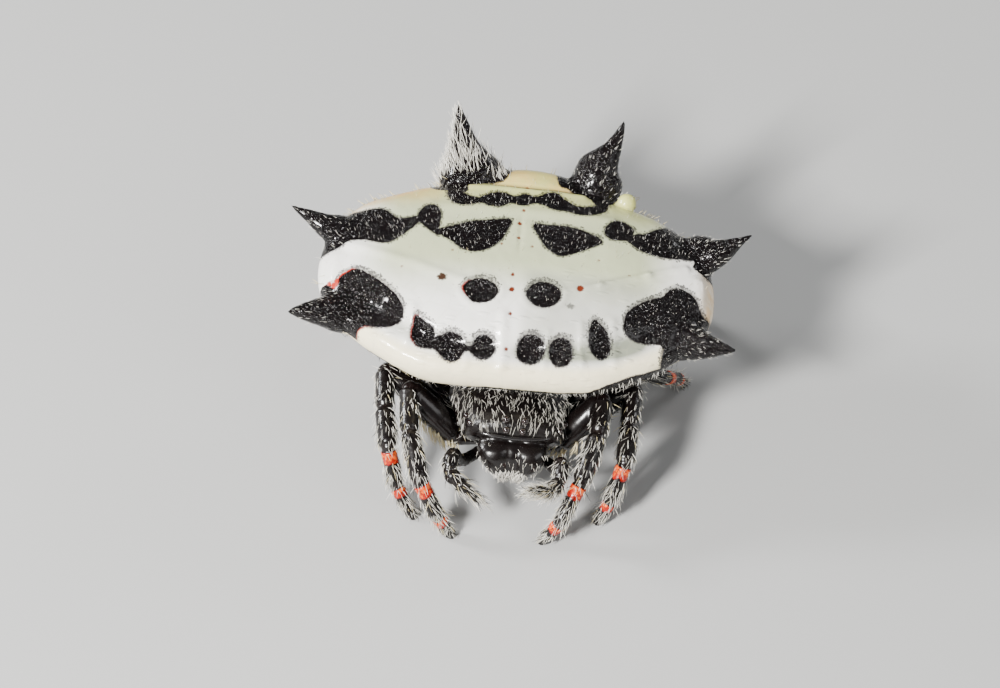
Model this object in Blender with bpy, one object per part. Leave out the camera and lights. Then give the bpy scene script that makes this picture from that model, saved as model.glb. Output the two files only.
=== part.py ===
"""A female spiny orb weaver, life size, standing still on the floor with its front legs drawn in.

The model faces -Y and stands on the plane z = 0. Its left side is at +X. Everything is built
in millimetres and turned into metres once, in finish_node. The abdomen is a transverse shield
with six spines over a belly cone, and it leans over the back half of the head part.
"""

import math

import bmesh
import bpy
from mathutils import Matrix, Vector
from mathutils.bvhtree import BVHTree

# Scale and frame, in millimetres
METRES_PER_MM = 0.001
BODY_SHIFT_Y = -3.29  # moves the face from y = 0 so that the bounding box is centred on the origin
GAP = 0.2  # free space between a node and what it grows from
SOCKET_GAP = 0.06  # the same round an eye, which is only a quarter of a millimetre wide
FLOOR_SLAB = 2.0

# Abdomen: its own frame has +Y towards the rear and +Z out of the shield
ABDOMEN_ORIGIN = Vector((0.0, 3.8, 4.8))
ABDOMEN_PITCH = math.radians(11.0)  # the rear is raised
ABDOMEN_STEPS = 60
# Half outline of the shield from the front middle round its left side to the rear middle
SHIELD_OUTLINE = (
    (0.0, -3.3),
    (1.5, -3.26),
    (2.7, -3.06),
    (3.8, -2.56),
    (4.65, -1.95),
    (5.32, -1.25),
    (5.66, -0.4),
    (5.66, 0.5),
    (5.4, 1.4),
    (4.8, 2.15),
    (4.0, 2.62),
    (3.0, 3.02),
    (2.0, 3.32),
    (1.0, 3.48),
    (0.0, 3.52),
)
SHIELD_FRONT = -SHIELD_OUTLINE[0][1]
SHIELD_REAR = SHIELD_OUTLINE[-1][1]
# Sections from the crown of the shield down to the belly: height, width share, front and rear reach
ABDOMEN_SECTIONS = (
    (0.98, 0.14, 0.46, 0.5),
    (0.93, 0.36, 1.17, 1.26),
    (0.84, 0.56, 1.83, 1.97),
    (0.68, 0.74, 2.42, 2.6),
    (0.45, 0.88, 2.88, 3.1),
    (0.16, 0.965, 3.17, 3.42),
    (-0.16, 1.0, 3.3, 3.52),
    (-0.54, 0.99, 3.28, 3.44),
    (-0.9, 0.925, 2.98, 3.25),
    (-1.15, 0.83, 2.36, 3.05),
    (-1.5, 0.7, 1.72, 2.86),
    (-2.05, 0.53, 1.2, 2.5),
    (-2.6, 0.37, 0.72, 2.1),
    (-3.0, 0.24, 0.26, 1.72),
    (-3.25, 0.13, -0.16, 1.32),
)
SHIELD_CROWN = (0.15, 1.0)
BELLY_POLE = (0.68, -3.32)

# The six spines: places from root to tip in the abdomen's frame, each with its radius
SPINE_STEPS = 14
SPINES = (
    (
        (3.9, -0.95, -0.5, 0.6),
        (4.68, -1.12, -0.28, 0.69),
        (5.05, -1.3, -0.16, 0.58),
        (5.37, -1.42, -0.08, 0.46),
        (5.69, -1.51, 0.0, 0.35),
        (5.97, -1.56, 0.06, 0.23),
        (6.23, -1.61, 0.1, 0.12),
        (6.4, -1.62, 0.12, 0.05),
    ),
    (
        (-3.9, -1.05, -0.5, 0.6),
        (-4.66, -1.29, -0.3, 0.69),
        (-5.02, -1.45, -0.18, 0.6),
        (-5.36, -1.52, -0.08, 0.49),
        (-5.68, -1.6, 0.0, 0.37),
        (-5.96, -1.66, 0.05, 0.26),
        (-6.2, -1.71, 0.08, 0.15),
        (-6.36, -1.76, 0.1, 0.06),
    ),
    (
        (4.3, 1.3, -0.42, 0.5),
        (5.09, 1.67, -0.1, 0.6),
        (5.43, 1.59, 0.08, 0.54),
        (5.7, 1.61, 0.25, 0.43),
        (5.95, 1.69, 0.4, 0.31),
        (6.19, 1.78, 0.56, 0.19),
        (6.41, 1.86, 0.69, 0.1),
        (6.56, 1.92, 0.77, 0.05),
    ),
    (
        (-4.2, 1.1, -0.38, 0.5),
        (-4.98, 1.18, -0.02, 0.58),
        (-5.34, 1.19, 0.16, 0.49),
        (-5.64, 1.23, 0.3, 0.37),
        (-5.94, 1.32, 0.42, 0.25),
        (-6.21, 1.4, 0.52, 0.16),
        (-6.43, 1.46, 0.6, 0.09),
        (-6.56, 1.52, 0.64, 0.05),
    ),
    (
        (1.75, 3.0, -0.55, 0.55),
        (2.02, 3.75, -0.18, 0.78),
        (2.08, 4.15, 0.2, 0.68),
        (2.22, 4.35, 0.46, 0.48),
        (2.38, 4.56, 0.7, 0.3),
        (2.5, 4.77, 0.92, 0.2),
        (2.58, 4.94, 1.1, 0.13),
        (2.66, 5.12, 1.32, 0.05),
    ),
    (
        (-1.4, 3.0, -0.5, 0.6),
        (-1.6, 3.72, -0.06, 0.95),
        (-1.73, 4.03, 0.26, 0.7),
        (-1.82, 4.23, 0.46, 0.5),
        (-1.9, 4.44, 0.66, 0.36),
        (-2.0, 4.74, 0.96, 0.22),
        (-2.08, 4.95, 1.17, 0.13),
        (-2.15, 5.11, 1.36, 0.05),
    ),
)
SPINE_FLATNESS = 0.8  # thickness of a spine's root against its width; the tip is round
# The lobe of the rear wall that shows past the rim between the two rear spines
REAR_LOBE = ((0.2, 3.05, -0.25), (2.0, 1.1, 0.7))

# Pits of the shield: place on the shield, half width, half length, turn in degrees
PIT_STEPS = 10
PIT_DEPTH = 0.1
SHIELD_PITS = (
    (0.04, 2.62, 0.22, 0.17, 0.0),
    (0.86, 2.6, 0.3, 0.2, 0.0),
    (-0.78, 2.6, 0.3, 0.2, 0.0),
    (1.3, 1.12, 0.8, 0.42, -8.0),
    (-1.3, 1.08, 0.8, 0.42, 8.0),
    (2.8, 1.66, 0.36, 0.28, 0.0),
    (-2.66, 1.5, 0.28, 0.3, 0.0),
    (3.95, 1.5, 0.56, 0.32, -10.0),
    (-3.9, 1.34, 0.56, 0.34, 10.0),
    (0.82, -0.9, 0.42, 0.34, 0.0),
    (-0.98, -0.92, 0.42, 0.34, 0.0),
    (-2.1, -0.62, 0.17, 0.12, 0.0),
    (0.58, -2.5, 0.28, 0.32, 0.0),
    (1.46, -2.46, 0.26, 0.32, 0.0),
    (2.5, -2.06, 0.24, 0.44, 14.0),
    (-0.76, -2.5, 0.26, 0.3, 0.0),
    (-1.68, -2.5, 0.36, 0.3, 0.0),
    (-2.5, -2.24, 0.26, 0.4, -8.0),
    (3.78, -1.32, 0.5, 0.46, 0.0),
    (-3.66, -1.56, 0.46, 0.42, 0.0),
    (4.62, -0.66, 0.36, 0.36, 0.0),
    (-4.42, -0.92, 0.4, 0.34, 0.0),
)

# Belly: a raised ring round the spinnerets, and the tubercle in front of it
RING_PLACE = (0.0, 0.68, -3.2)
RING_RADIUS = 0.62
RING_HEIGHT = 0.42
RING_BORE = 0.4
TUBERCLE = ((0.0, -0.2, -2.6), (0.0, -0.5, -3.25), 0.3)
SPINNERET_LENGTH = 0.62
SPINNERET_RADIUS = 0.15
SPINNERET_PAIRS = ((0.15, -0.14, 1.0), (0.17, 0.12, 0.85), (0.07, 0.02, 0.7))

# Head part, seen from the side: y, half width, top, bottom
HEAD_STEPS = 28
HEAD_WAIST = 1.95  # height of the widest line, the rim of the carapace
HEAD_SECTIONS = (
    (-0.02, 0.86, 2.68, 2.28, 2.4),
    (0.06, 1.14, 2.83, 2.08, 2.5),
    (0.24, 1.36, 2.93, 1.72, 2.5),
    (0.5, 1.46, 2.99, 1.3, 2.4),
    (0.9, 1.54, 3.0, 1.05, 2.3),
    (1.35, 1.66, 2.93, 0.96, 2.2),
    (1.85, 1.76, 2.74, 0.95, 2.1),
    (2.3, 1.66, 2.46, 1.0, 2.0),
    (2.7, 1.36, 2.18, 1.12, 2.0),
    (2.98, 0.9, 1.98, 1.3, 2.0),
)
HEAD_FRONT_POLE = (0.0, -0.07, 2.48)
HEAD_REAR_POLE = (0.0, 3.08, 1.66)
HEAD_LEAN = 0.36  # how far the face stands to its left of the abdomen's middle
HEAD_LEAN_FROM = 3.0  # the y at which the head part starts to lean
STERNUM_SHARE = 0.62  # width of the underside against the width of the carapace
PEDICEL = ((0.0, 2.6, 1.62), (0.0, 4.1, 2.42), 0.3)
MOUTHPARTS = (
    ((0.36, 0.42, 1.22), (0.27, 0.34, 0.3)),
    ((-0.36, 0.42, 1.22), (0.27, 0.34, 0.3)),
    ((0.0, 0.78, 1.08), (0.24, 0.26, 0.2)),
)

# Eyes: how far from the middle, and y + z as seen from 45 degrees above the front; radius
EYES = {
    "eye_front_middle": (0.23, 2.72, 0.115),
    "eye_rear_middle": (0.27, 3.12, 0.12),
    "eye_front_side": (1.26, 2.84, 0.1),
    "eye_rear_side": (1.38, 3.12, 0.1),
}
EYE_STEPS = 10
EYE_RINGS = 6
EYE_STANDS_OUT = 0.3  # share of its radius that an eye's centre stands out of the head

# Chelicerae: heights down the axis with radii, and the fang under each
CHELICERA_STEPS = 14
CHELICERA_SECTIONS = (
    (2.3, 0.54, 0.1, 0.34),
    (2.2, 0.56, 0.02, 0.47),
    (2.0, 0.57, -0.06, 0.52),
    (1.74, 0.53, -0.12, 0.49),
    (1.5, 0.45, -0.16, 0.42),
    (1.28, 0.36, -0.16, 0.33),
    (1.1, 0.28, -0.12, 0.25),
    (1.0, 0.25, -0.1, 0.15),
)
FANG = ((0.4, -0.12, 1.14), (0.26, -0.16, 0.86), (0.1, -0.02, 0.82))
FANG_RADII = (0.12, 0.09, 0.03)

# Palps: root, end of each piece, tip, as the photo shows them
PALP_STEPS = 10
PALP_RADII = ((0.2, 0.2), (0.21, 0.23), (0.24, 0.23), (0.22, 0.24), (0.24, 0.12))
PALPS = {
    "palp_right": (
        (-0.5, 0.42, 1.38),
        (-1.1, -0.2, 1.44),
        (-1.36, -0.52, 2.1),
        (-1.42, -1.0, 1.88),
        (-1.16, -1.2, 1.66),
        (-0.38, -1.42, 1.14),
    ),
    "palp_left": (
        (1.1, 0.42, 1.38),
        (1.7, -0.2, 1.44),
        (1.78, -0.46, 2.1),
        (1.8, -0.95, 1.84),
        (1.58, -1.28, 1.76),
        (0.98, -1.72, 2.08),
    ),
}

# Legs: root, coxa end, knee, ends of patella, tibia and metatarsus, and the tip on the floor
LEG_STEPS = 10
LEG_RADII = (
    (0.25, 0.29),
    (0.3, 0.34),
    (0.32, 0.3),
    (0.3, 0.29),
    (0.27, 0.26),
    (0.25, 0.15),
)
LEG_BULGE = (0.02, 0.13, 0.02, 0.04, 0.01, 0.02)
HIND_LEG_SHARE = 0.9
LEGS = {
    "leg_right_1": (
        (-0.5, 0.96, 1.36),
        (-1.34, 0.74, 1.5),
        (-2.76, 1.1, 2.9),
        (-2.64, -0.16, 2.42),
        (-2.19, -1.42, 1.74),
        (-1.6, -1.78, 0.76),
        (-1.15, -1.79, 0.0),
    ),
    "leg_left_1": (
        (1.0, 0.96, 1.36),
        (1.68, 0.78, 1.5),
        (2.79, 1.46, 2.84),
        (2.76, 0.36, 2.54),
        (2.38, -0.92, 1.78),
        (1.89, -1.6, 0.76),
        (1.42, -1.69, 0.0),
    ),
    "leg_right_2": (
        (-0.58, 1.54, 1.36),
        (-1.48, 1.5, 1.46),
        (-3.5, 2.06, 2.56),
        (-3.42, 0.9, 2.2),
        (-3.2, -0.2, 1.74),
        (-2.86, -0.7, 0.7),
        (-2.3, -1.2, 0.0),
    ),
    "leg_left_2": (
        (0.92, 1.54, 1.36),
        (1.76, 1.52, 1.44),
        (3.66, 2.56, 2.36),
        (3.63, 1.28, 2.08),
        (3.59, 0.12, 1.68),
        (3.29, -0.5, 0.74),
        (2.97, -0.72, 0.0),
    ),
    "leg_right_3": (
        (-0.64, 2.1, 1.34),
        (-1.52, 2.26, 1.4),
        (-3.05, 3.5, 2.12),
        (-3.6, 4.0, 2.06),
        (-4.2, 4.7, 1.6),
        (-4.62, 5.52, 0.8),
        (-4.78, 6.2, 0.0),
    ),
    "leg_left_3": (
        (0.86, 2.1, 1.34),
        (1.68, 2.26, 1.4),
        (3.1, 3.35, 2.08),
        (3.76, 3.6, 1.94),
        (4.59, 3.86, 1.56),
        (4.96, 4.64, 0.8),
        (5.2, 5.22, 0.0),
    ),
    "leg_right_4": (
        (-0.7, 2.6, 1.34),
        (-1.34, 3.06, 1.4),
        (-2.9, 5.2, 2.0),
        (-3.45, 5.98, 1.94),
        (-4.0, 7.15, 1.42),
        (-4.25, 8.02, 0.62),
        (-4.22, 8.42, 0.0),
    ),
    "leg_left_4": (
        (0.7, 2.6, 1.34),
        (1.34, 3.06, 1.4),
        (3.0, 5.15, 2.0),
        (3.58, 5.9, 1.94),
        (4.2, 7.02, 1.42),
        (4.52, 7.86, 0.62),
        (4.52, 8.28, 0.0),
    ),
}

# Looks of each kind of piece: base colour and roughness
FINISHES = {
    "shield": ((0.86, 0.85, 0.78, 1.0), 0.3),
    "black_cuticle": ((0.012, 0.011, 0.012, 1.0), 0.32),
    "eye": ((0.02, 0.015, 0.015, 1.0), 0.08),
}


def clear_scene():
    for thing in list(bpy.data.objects):
        bpy.data.objects.remove(thing)


def finish_of(name):
    """The material of that name, made the first time it is asked for."""
    material = bpy.data.materials.get(name)
    if material is None:
        colour, roughness = FINISHES[name]
        material = bpy.data.materials.new(name)
        material.use_nodes = True
        shader = material.node_tree.nodes["Principled BSDF"]
        shader.inputs["Base Color"].default_value = colour
        shader.inputs["Roughness"].default_value = roughness
        material.diffuse_color = colour
    return material


def smooth_chain(points, count):
    """count points read evenly along the parameter of a Catmull-Rom curve through points."""
    last = len(points) - 1
    read = []
    for i in range(count):
        t = i / (count - 1) * last
        k = min(int(t), last - 1)
        f = t - k
        p1, p2 = points[k], points[k + 1]
        p0 = points[k - 1] if k > 0 else 2 * p1 - p2
        p3 = points[k + 2] if k + 2 <= last else 2 * p2 - p1
        read.append(
            0.5 * (2 * p1 + (p2 - p0) * f + (2 * p0 - 5 * p1 + 4 * p2 - p3) * f**2 + (3 * p1 - p0 - 3 * p2 + p3) * f**3)
        )
    return read


def loft(rings, start_pole, end_pole):
    """A closed surface over rings of equally many points, each end drawn to a pole."""
    surface = bmesh.new()
    made = [[surface.verts.new(p) for p in ring] for ring in rings]
    count = len(made[0])
    for lower, upper in zip(made, made[1:]):
        for i in range(count):
            j = (i + 1) % count
            surface.faces.new((lower[i], lower[j], upper[j], upper[i]))
    for pole, ring in ((start_pole, made[0]), (end_pole, made[-1])):
        point = surface.verts.new(pole)
        for i in range(count):
            surface.faces.new((point, ring[i], ring[(i + 1) % count]))
    bmesh.ops.recalc_face_normals(surface, faces=surface.faces)
    if surface.calc_volume(signed=True) < 0:
        bmesh.ops.reverse_faces(surface, faces=surface.faces)
    return surface


def object_from(surface, name):
    """A linked object that owns the surface, still in millimetres."""
    mesh = bpy.data.meshes.new(name)
    surface.to_mesh(mesh)
    surface.free()
    made = bpy.data.objects.new(name, mesh)
    bpy.context.scene.collection.objects.link(made)
    return made


def across(direction):
    """Two unit vectors square to the direction and to each other."""
    along = direction.normalized()
    helper = Vector((0.0, 0.0, 1.0)) if abs(along.z) < 0.9 else Vector((1.0, 0.0, 0.0))
    side = along.cross(helper).normalized()
    return side, along.cross(side).normalized()


def limb_piece(start, end, start_radius, end_radius, bulge, steps):
    """One piece of a leg or palp: a tapered body with rounded ends that swells between them."""
    start, end = Vector(start), Vector(end)
    axis = (end - start).normalized()
    side, up = across(axis)
    shares = (0.0, 0.3, 0.65, 1.0)
    cap_share = 0.62
    rings = []

    def ring(centre, radius):
        turn = 2 * math.pi / steps
        rings.append(
            [centre + radius * (math.cos(turn * i) * side + math.sin(turn * i) * up) for i in range(steps)]
        )

    ring(start - axis * start_radius * cap_share, start_radius * 0.66)
    for share in shares:
        swell = bulge * math.sin(math.pi * share)
        ring(start.lerp(end, share), start_radius + (end_radius - start_radius) * share + swell)
    ring(end + axis * end_radius * cap_share, end_radius * 0.66)
    return loft(rings, start - axis * start_radius * 0.85, end + axis * end_radius * 0.85)


def tube(points, radii, steps, flatness=None):
    """A tapered tube with rounded ends along a gently curved line of points, flattened by flatness."""
    rings = []
    side = across(points[1] - points[0])[0]
    for i, (point, radius) in enumerate(zip(points, radii)):
        along = (points[min(i + 1, len(points) - 1)] - points[max(i - 1, 0)]).normalized()
        up = along.cross(side).normalized()
        side = up.cross(along).normalized()
        flat = flatness[i] if flatness else 1.0
        turn = 2 * math.pi / steps
        rings.append(
            [
                point + radius * (math.cos(turn * k) * side + math.sin(turn * k) * flat * up)
                for k in range(steps)
            ]
        )
    first = (points[0] - points[1]).normalized() * radii[0] * 0.5
    last = (points[-1] - points[-2]).normalized() * radii[-1] * 0.8
    return loft(rings, points[0] + first, points[-1] + last)


def ellipsoid(centre, radii, steps, rings):
    surface = bmesh.new()
    bmesh.ops.create_uvsphere(surface, u_segments=steps, v_segments=rings, radius=1.0)
    bmesh.ops.scale(surface, vec=Vector(radii), verts=surface.verts)
    bmesh.ops.translate(surface, vec=Vector(centre), verts=surface.verts)
    return surface


def apply_boolean(base, operation, others, solver="MANIFOLD"):
    """Joins others to base, or cuts them from it, and removes them."""
    group = bpy.data.collections.new("operands")
    bpy.context.scene.collection.children.link(group)
    for other in others:
        bpy.context.scene.collection.objects.unlink(other)
        group.objects.link(other)
    modifier = base.modifiers.new(operation.lower(), "BOOLEAN")
    modifier.operation = operation
    modifier.solver = solver
    modifier.operand_type = "COLLECTION"
    modifier.collection = group
    graph = bpy.context.evaluated_depsgraph_get()
    result = bpy.data.meshes.new_from_object(base.evaluated_get(graph))
    base.modifiers.remove(modifier)
    old = base.data
    base.data = result
    bpy.data.meshes.remove(old)
    for other in list(group.objects):
        bpy.data.objects.remove(other)
    bpy.data.collections.remove(group)
    keep_largest(base)


def keep_largest(thing):
    """Leaves only the largest closed surface of a mesh, as triangles."""
    surface = bmesh.new()
    surface.from_mesh(thing.data)
    bmesh.ops.triangulate(surface, faces=surface.faces)
    left = set(surface.faces)
    groups = []
    while left:
        stack = [left.pop()]
        group = []
        while stack:
            face = stack.pop()
            group.append(face)
            for edge in face.edges:
                for other in edge.link_faces:
                    if other in left:
                        left.remove(other)
                        stack.append(other)
        groups.append(group)
    groups.sort(key=lambda faces: sum(face.calc_area() for face in faces))
    for group in groups[:-1]:
        bmesh.ops.delete(surface, geom=group, context="FACES")
    surface.to_mesh(thing.data)
    surface.free()


def grow(surface, margin):
    """Moves a closed surface out by margin."""
    surface.normal_update()
    moves = [vertex.normal * margin for vertex in surface.verts]
    for vertex, move in zip(surface.verts, moves):
        vertex.co += move


def surface_of(thing):
    surface = bmesh.new()
    surface.from_mesh(thing.data)
    tree = BVHTree.FromBMesh(surface)
    surface.free()
    return tree


def half_outline_to_full(half):
    """Closes a half outline into a ring of ABDOMEN_STEPS points, mirrored across x = 0."""
    points = smooth_chain([Vector((x, y, 0.0)) for x, y in half], ABDOMEN_STEPS // 2 + 1)
    points[0].x = points[-1].x = 0.0
    mirrored = [Vector((-p.x, p.y, 0.0)) for p in points[-2:0:-1]]
    return points + mirrored


def shield_and_belly(margin):
    """The abdomen's body: sections of the shield outline, drawn in and shifted towards the belly."""
    outline = half_outline_to_full(SHIELD_OUTLINE)
    rings = []
    for height, width, front, rear in ABDOMEN_SECTIONS:
        ring = []
        middle = (rear - front) / 2 - (SHIELD_REAR - SHIELD_FRONT) / 2 * width
        for p in outline:
            centred = p.y - (SHIELD_REAR - SHIELD_FRONT) / 2
            length = (rear + front) / (SHIELD_REAR + SHIELD_FRONT)
            y = centred * length + (SHIELD_REAR - SHIELD_FRONT) / 2 * width + middle
            ring.append(Vector((p.x * width, y, height)))
        rings.append(ring)
    crown = Vector((0.0, *SHIELD_CROWN))
    pole = Vector((0.0, *BELLY_POLE))
    body = loft(rings, crown, pole)
    grow(body, margin)
    return object_from(body, "abdomen")


def spine(stations):
    """One spine: a broad, slightly flat foot sunk in the shield that narrows into a bent thorn."""
    points = [Vector(station[:3]) for station in stations]
    radii = [station[3] for station in stations]
    last = len(points) - 1
    flatness = [SPINE_FLATNESS + (1 - SPINE_FLATNESS) * i / last for i in range(len(points))]
    return object_from(tube(points, radii, SPINE_STEPS, flatness), "spine")


def shield_pit(tree, place):
    """A lens that scoops one shallow pit out of the shield, set on its surface."""
    x, y, half_width, half_length, turn = place
    hit, normal, _, _ = tree.ray_cast(Vector((x, y, 3.0)), Vector((0.0, 0.0, -1.0)))
    height = 0.32
    lens = ellipsoid((0.0, 0.0, 0.0), (half_width, half_length, height), PIT_STEPS, 6)
    stretch = 1 / math.sqrt(1 - (1 - PIT_DEPTH / height) ** 2)
    bmesh.ops.scale(lens, vec=Vector((stretch, stretch, 1.0)), verts=lens.verts)
    spin = Matrix.Rotation(math.radians(turn), 4, "Z")
    lean = Vector((0.0, 0.0, 1.0)).rotation_difference(normal).to_matrix().to_4x4()
    centre = hit + normal * (height - PIT_DEPTH)
    bmesh.ops.transform(lens, matrix=Matrix.Translation(centre) @ lean @ spin, verts=lens.verts)
    return object_from(lens, "pit")


def spinneret_ring():
    """The short hard tube that stands round the spinnerets, open downwards."""
    x, y, z = RING_PLACE
    low = z - RING_HEIGHT
    profile = (
        (RING_RADIUS * 0.94, z + 0.45),
        (RING_RADIUS, low + 0.14),
        (RING_RADIUS * 0.9, low),
        (RING_BORE * 1.1, low + 0.02),
        (RING_BORE, low + 0.14),
        (RING_BORE * 0.9, z - 0.1),
    )
    steps = 16
    turn = 2 * math.pi / steps
    rings = [
        [Vector((x + r * math.cos(turn * i), y + r * math.sin(turn * i), h)) for i in range(steps)]
        for r, h in profile
    ]
    return object_from(loft(rings, Vector((x, y, z + 0.45)), Vector((x, y, z - 0.1))), "ring")


def make_abdomen():
    body = shield_and_belly(0.0)
    tree = surface_of(body)  # before the spines join, so that a pit never lands on one
    joined = [spine(stations) for stations in SPINES]
    joined.append(object_from(ellipsoid(*REAR_LOBE, 20, 10), "rear_lobe"))
    joined.append(spinneret_ring())
    root, tip, radius = TUBERCLE
    joined.append(
        object_from(limb_piece(root, tip, radius, radius * 0.45, 0.0, 12), "tubercle")
    )
    apply_boolean(body, "UNION", joined)
    apply_boolean(body, "DIFFERENCE", [shield_pit(tree, place) for place in SHIELD_PITS])
    body.data.transform(abdomen_frame())
    return body


def abdomen_frame():
    return Matrix.Translation(ABDOMEN_ORIGIN) @ Matrix.Rotation(ABDOMEN_PITCH, 4, "X")


def make_spinnerets():
    """Six finger-like spinnerets that share one foot inside the ring."""
    x, y, z = RING_PLACE
    foot = object_from(ellipsoid((x, y, z - 0.36), (0.3, 0.3, 0.12), 12, 6), "spinnerets")
    fingers = []
    for out, along, share in SPINNERET_PAIRS:
        for side in (-1, 1):
            start = Vector((x + out * side, y + along, z - 0.36))
            end = start + Vector((out * side * 0.5, along * 0.5, -SPINNERET_LENGTH * share))
            piece = limb_piece(start, end, SPINNERET_RADIUS * share, SPINNERET_RADIUS * share * 0.6, 0.0, 8)
            fingers.append(object_from(piece, "finger"))
    apply_boolean(foot, "UNION", fingers)
    foot.data.transform(abdomen_frame())
    return foot


def lean(surface):
    """Moves what belongs to the head sideways, most at the face and not at all at the pedicel."""
    for vertex in surface.verts:
        vertex.co.x += HEAD_LEAN * min(max(1 - vertex.co.y / HEAD_LEAN_FROM, 0.0), 1.0)


def head_section(y, half_width, top, bottom, power):
    """One ring round the head part: domed above its rim and drawn in to the sternum below."""
    ring = []
    for i in range(HEAD_STEPS):
        angle = 2 * math.pi * i / HEAD_STEPS
        c, s = math.cos(angle), math.sin(angle)
        waist = min(max(HEAD_WAIST, bottom + 0.3 * (top - bottom)), top - 0.3 * (top - bottom))
        x = half_width * math.copysign(abs(c) ** (2 / power), c)
        reach = top - waist if s > 0 else waist - bottom
        z = waist + reach * math.copysign(abs(s) ** (2 / power), s)
        if s < 0:
            x *= 1 - (1 - STERNUM_SHARE) * min(1.0, abs(s) * 1.4)
        ring.append(Vector((x, y, z)))
    return ring


def head_pieces(margin):
    """The carapace with its sternum, the mouthparts and the pedicel, all grown by margin."""
    rings = [head_section(*section) for section in HEAD_SECTIONS]
    body = loft(rings, Vector(HEAD_FRONT_POLE), Vector(HEAD_REAR_POLE))
    lean(body)
    grow(body, margin)
    pieces = [object_from(body, "cephalothorax")]
    for centre, radii in MOUTHPARTS:
        mouthpart = ellipsoid(centre, radii, 10, 6)
        lean(mouthpart)
        grow(mouthpart, margin)
        pieces.append(object_from(mouthpart, "mouthpart"))
    start, end, radius = PEDICEL
    pieces.append(object_from(limb_piece(start, end, radius + margin, radius + margin, -0.04, 12), "pedicel"))
    return pieces


def make_head():
    """The head part, trimmed clear of the abdomen that leans over it."""
    pieces = head_pieces(0.0)
    apply_boolean(pieces[0], "UNION", pieces[1:])
    clearance = shield_and_belly(GAP)
    clearance.data.transform(abdomen_frame())
    apply_boolean(pieces[0], "DIFFERENCE", [clearance])
    return pieces[0]


def eye_places(head):
    """Name, centre and radius of each eye, found on the head from 45 degrees above its front."""
    tree = surface_of(head)
    view = Vector((0.0, 1.0, -1.0)).normalized()
    places = []
    for name, (x, seen_height, radius) in EYES.items():
        for side, word in ((-1, "right"), (1, "left")):
            start = Vector((HEAD_LEAN + x * side, seen_height / 2 - 4.0, seen_height / 2 + 4.0))
            hit, normal, _, _ = tree.ray_cast(start, view)
            places.append((f"{name}_{word}", hit + normal * radius * EYE_STANDS_OUT, radius))
    return places


def make_eyes(head):
    """Eight eyes, each a small ball in a socket cut for it."""
    eyes = []
    sockets = []
    for name, centre, radius in eye_places(head):
        eyes.append(object_from(ellipsoid(centre, (radius,) * 3, EYE_STEPS, EYE_RINGS), name))
        cutter = ellipsoid(centre, (radius + SOCKET_GAP,) * 3, EYE_STEPS, EYE_RINGS)
        sockets.append(object_from(cutter, "socket"))
    apply_boolean(head, "DIFFERENCE", sockets)
    return eyes


def make_chelicera(side, word):
    """One jaw: a stout upright piece, with its fang folded in below."""
    turn = 2 * math.pi / CHELICERA_STEPS
    rings = []
    for z, x, y, radius in CHELICERA_SECTIONS:
        rings.append(
            [
                Vector((HEAD_LEAN + side * x + radius * math.cos(turn * i), y + radius * math.sin(turn * i), z))
                for i in range(CHELICERA_STEPS)
            ]
        )
    (z_top, x_top, y_top, _), (z_low, x_low, y_low, _) = CHELICERA_SECTIONS[0], CHELICERA_SECTIONS[-1]
    top = Vector((HEAD_LEAN + side * x_top, y_top, z_top + 0.08))
    low = Vector((HEAD_LEAN + side * x_low, y_low, z_low - 0.04))
    jaw = object_from(loft(rings, top, low), f"chelicera_{word}")
    middle = Vector((HEAD_LEAN, 0.0, 0.0))
    line = smooth_chain([Vector(p) * Vector((side, 1.0, 1.0)) + middle for p in FANG], 6)
    radii = [FANG_RADII[0] + (FANG_RADII[2] - FANG_RADII[0]) * i / 5 for i in range(6)]
    apply_boolean(jaw, "UNION", [object_from(tube(line, radii, 8), "fang")])
    return jaw


def make_palp(name, joints):
    pieces = []
    for (start, end), (r0, r1) in zip(zip(joints, joints[1:]), PALP_RADII):
        pieces.append(object_from(limb_piece(start, end, r0, r1, 0.0, PALP_STEPS), name))
    apply_boolean(pieces[0], "UNION", pieces[1:])
    return pieces[0]


def make_leg(name, joints):
    """One leg: coxa, femur, patella, tibia, metatarsus and tarsus, joined at their rounded ends."""
    share = HIND_LEG_SHARE if name[-1] in "34" else 1.0
    pieces = []
    for (start, end), (r0, r1), bulge in zip(zip(joints, joints[1:]), LEG_RADII, LEG_BULGE):
        pieces.append(
            object_from(limb_piece(start, end, r0 * share, r1 * share, bulge * share, LEG_STEPS), name)
        )
    apply_boolean(pieces[0], "UNION", pieces[1:])
    return pieces[0]


def floor_cutter():
    """A slab whose top is the floor: it gives each foot its small flat."""
    surface = bmesh.new()
    bmesh.ops.create_cube(surface, size=1.0)
    bmesh.ops.scale(surface, vec=Vector((30.0, 30.0, FLOOR_SLAB)), verts=surface.verts)
    bmesh.ops.translate(surface, vec=Vector((0.0, 0.0, -FLOOR_SLAB / 2)), verts=surface.verts)
    return object_from(surface, "floor")


def finish_node(thing, origin, finish, group, root):
    """Moves the node into its collection, in metres, with its own origin under the root empty."""
    place = Vector(origin)
    thing.data.transform(Matrix.Translation(-place))
    thing.data.transform(Matrix.Scale(METRES_PER_MM, 4))
    thing.location = place * METRES_PER_MM
    thing.parent = root
    thing.data.materials.clear()
    thing.data.materials.append(finish_of(finish))
    thing.data.shade_smooth()
    thing.data.set_sharp_from_angle(angle=math.radians(40.0))
    bpy.context.scene.collection.objects.unlink(thing)
    group.objects.link(thing)


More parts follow.
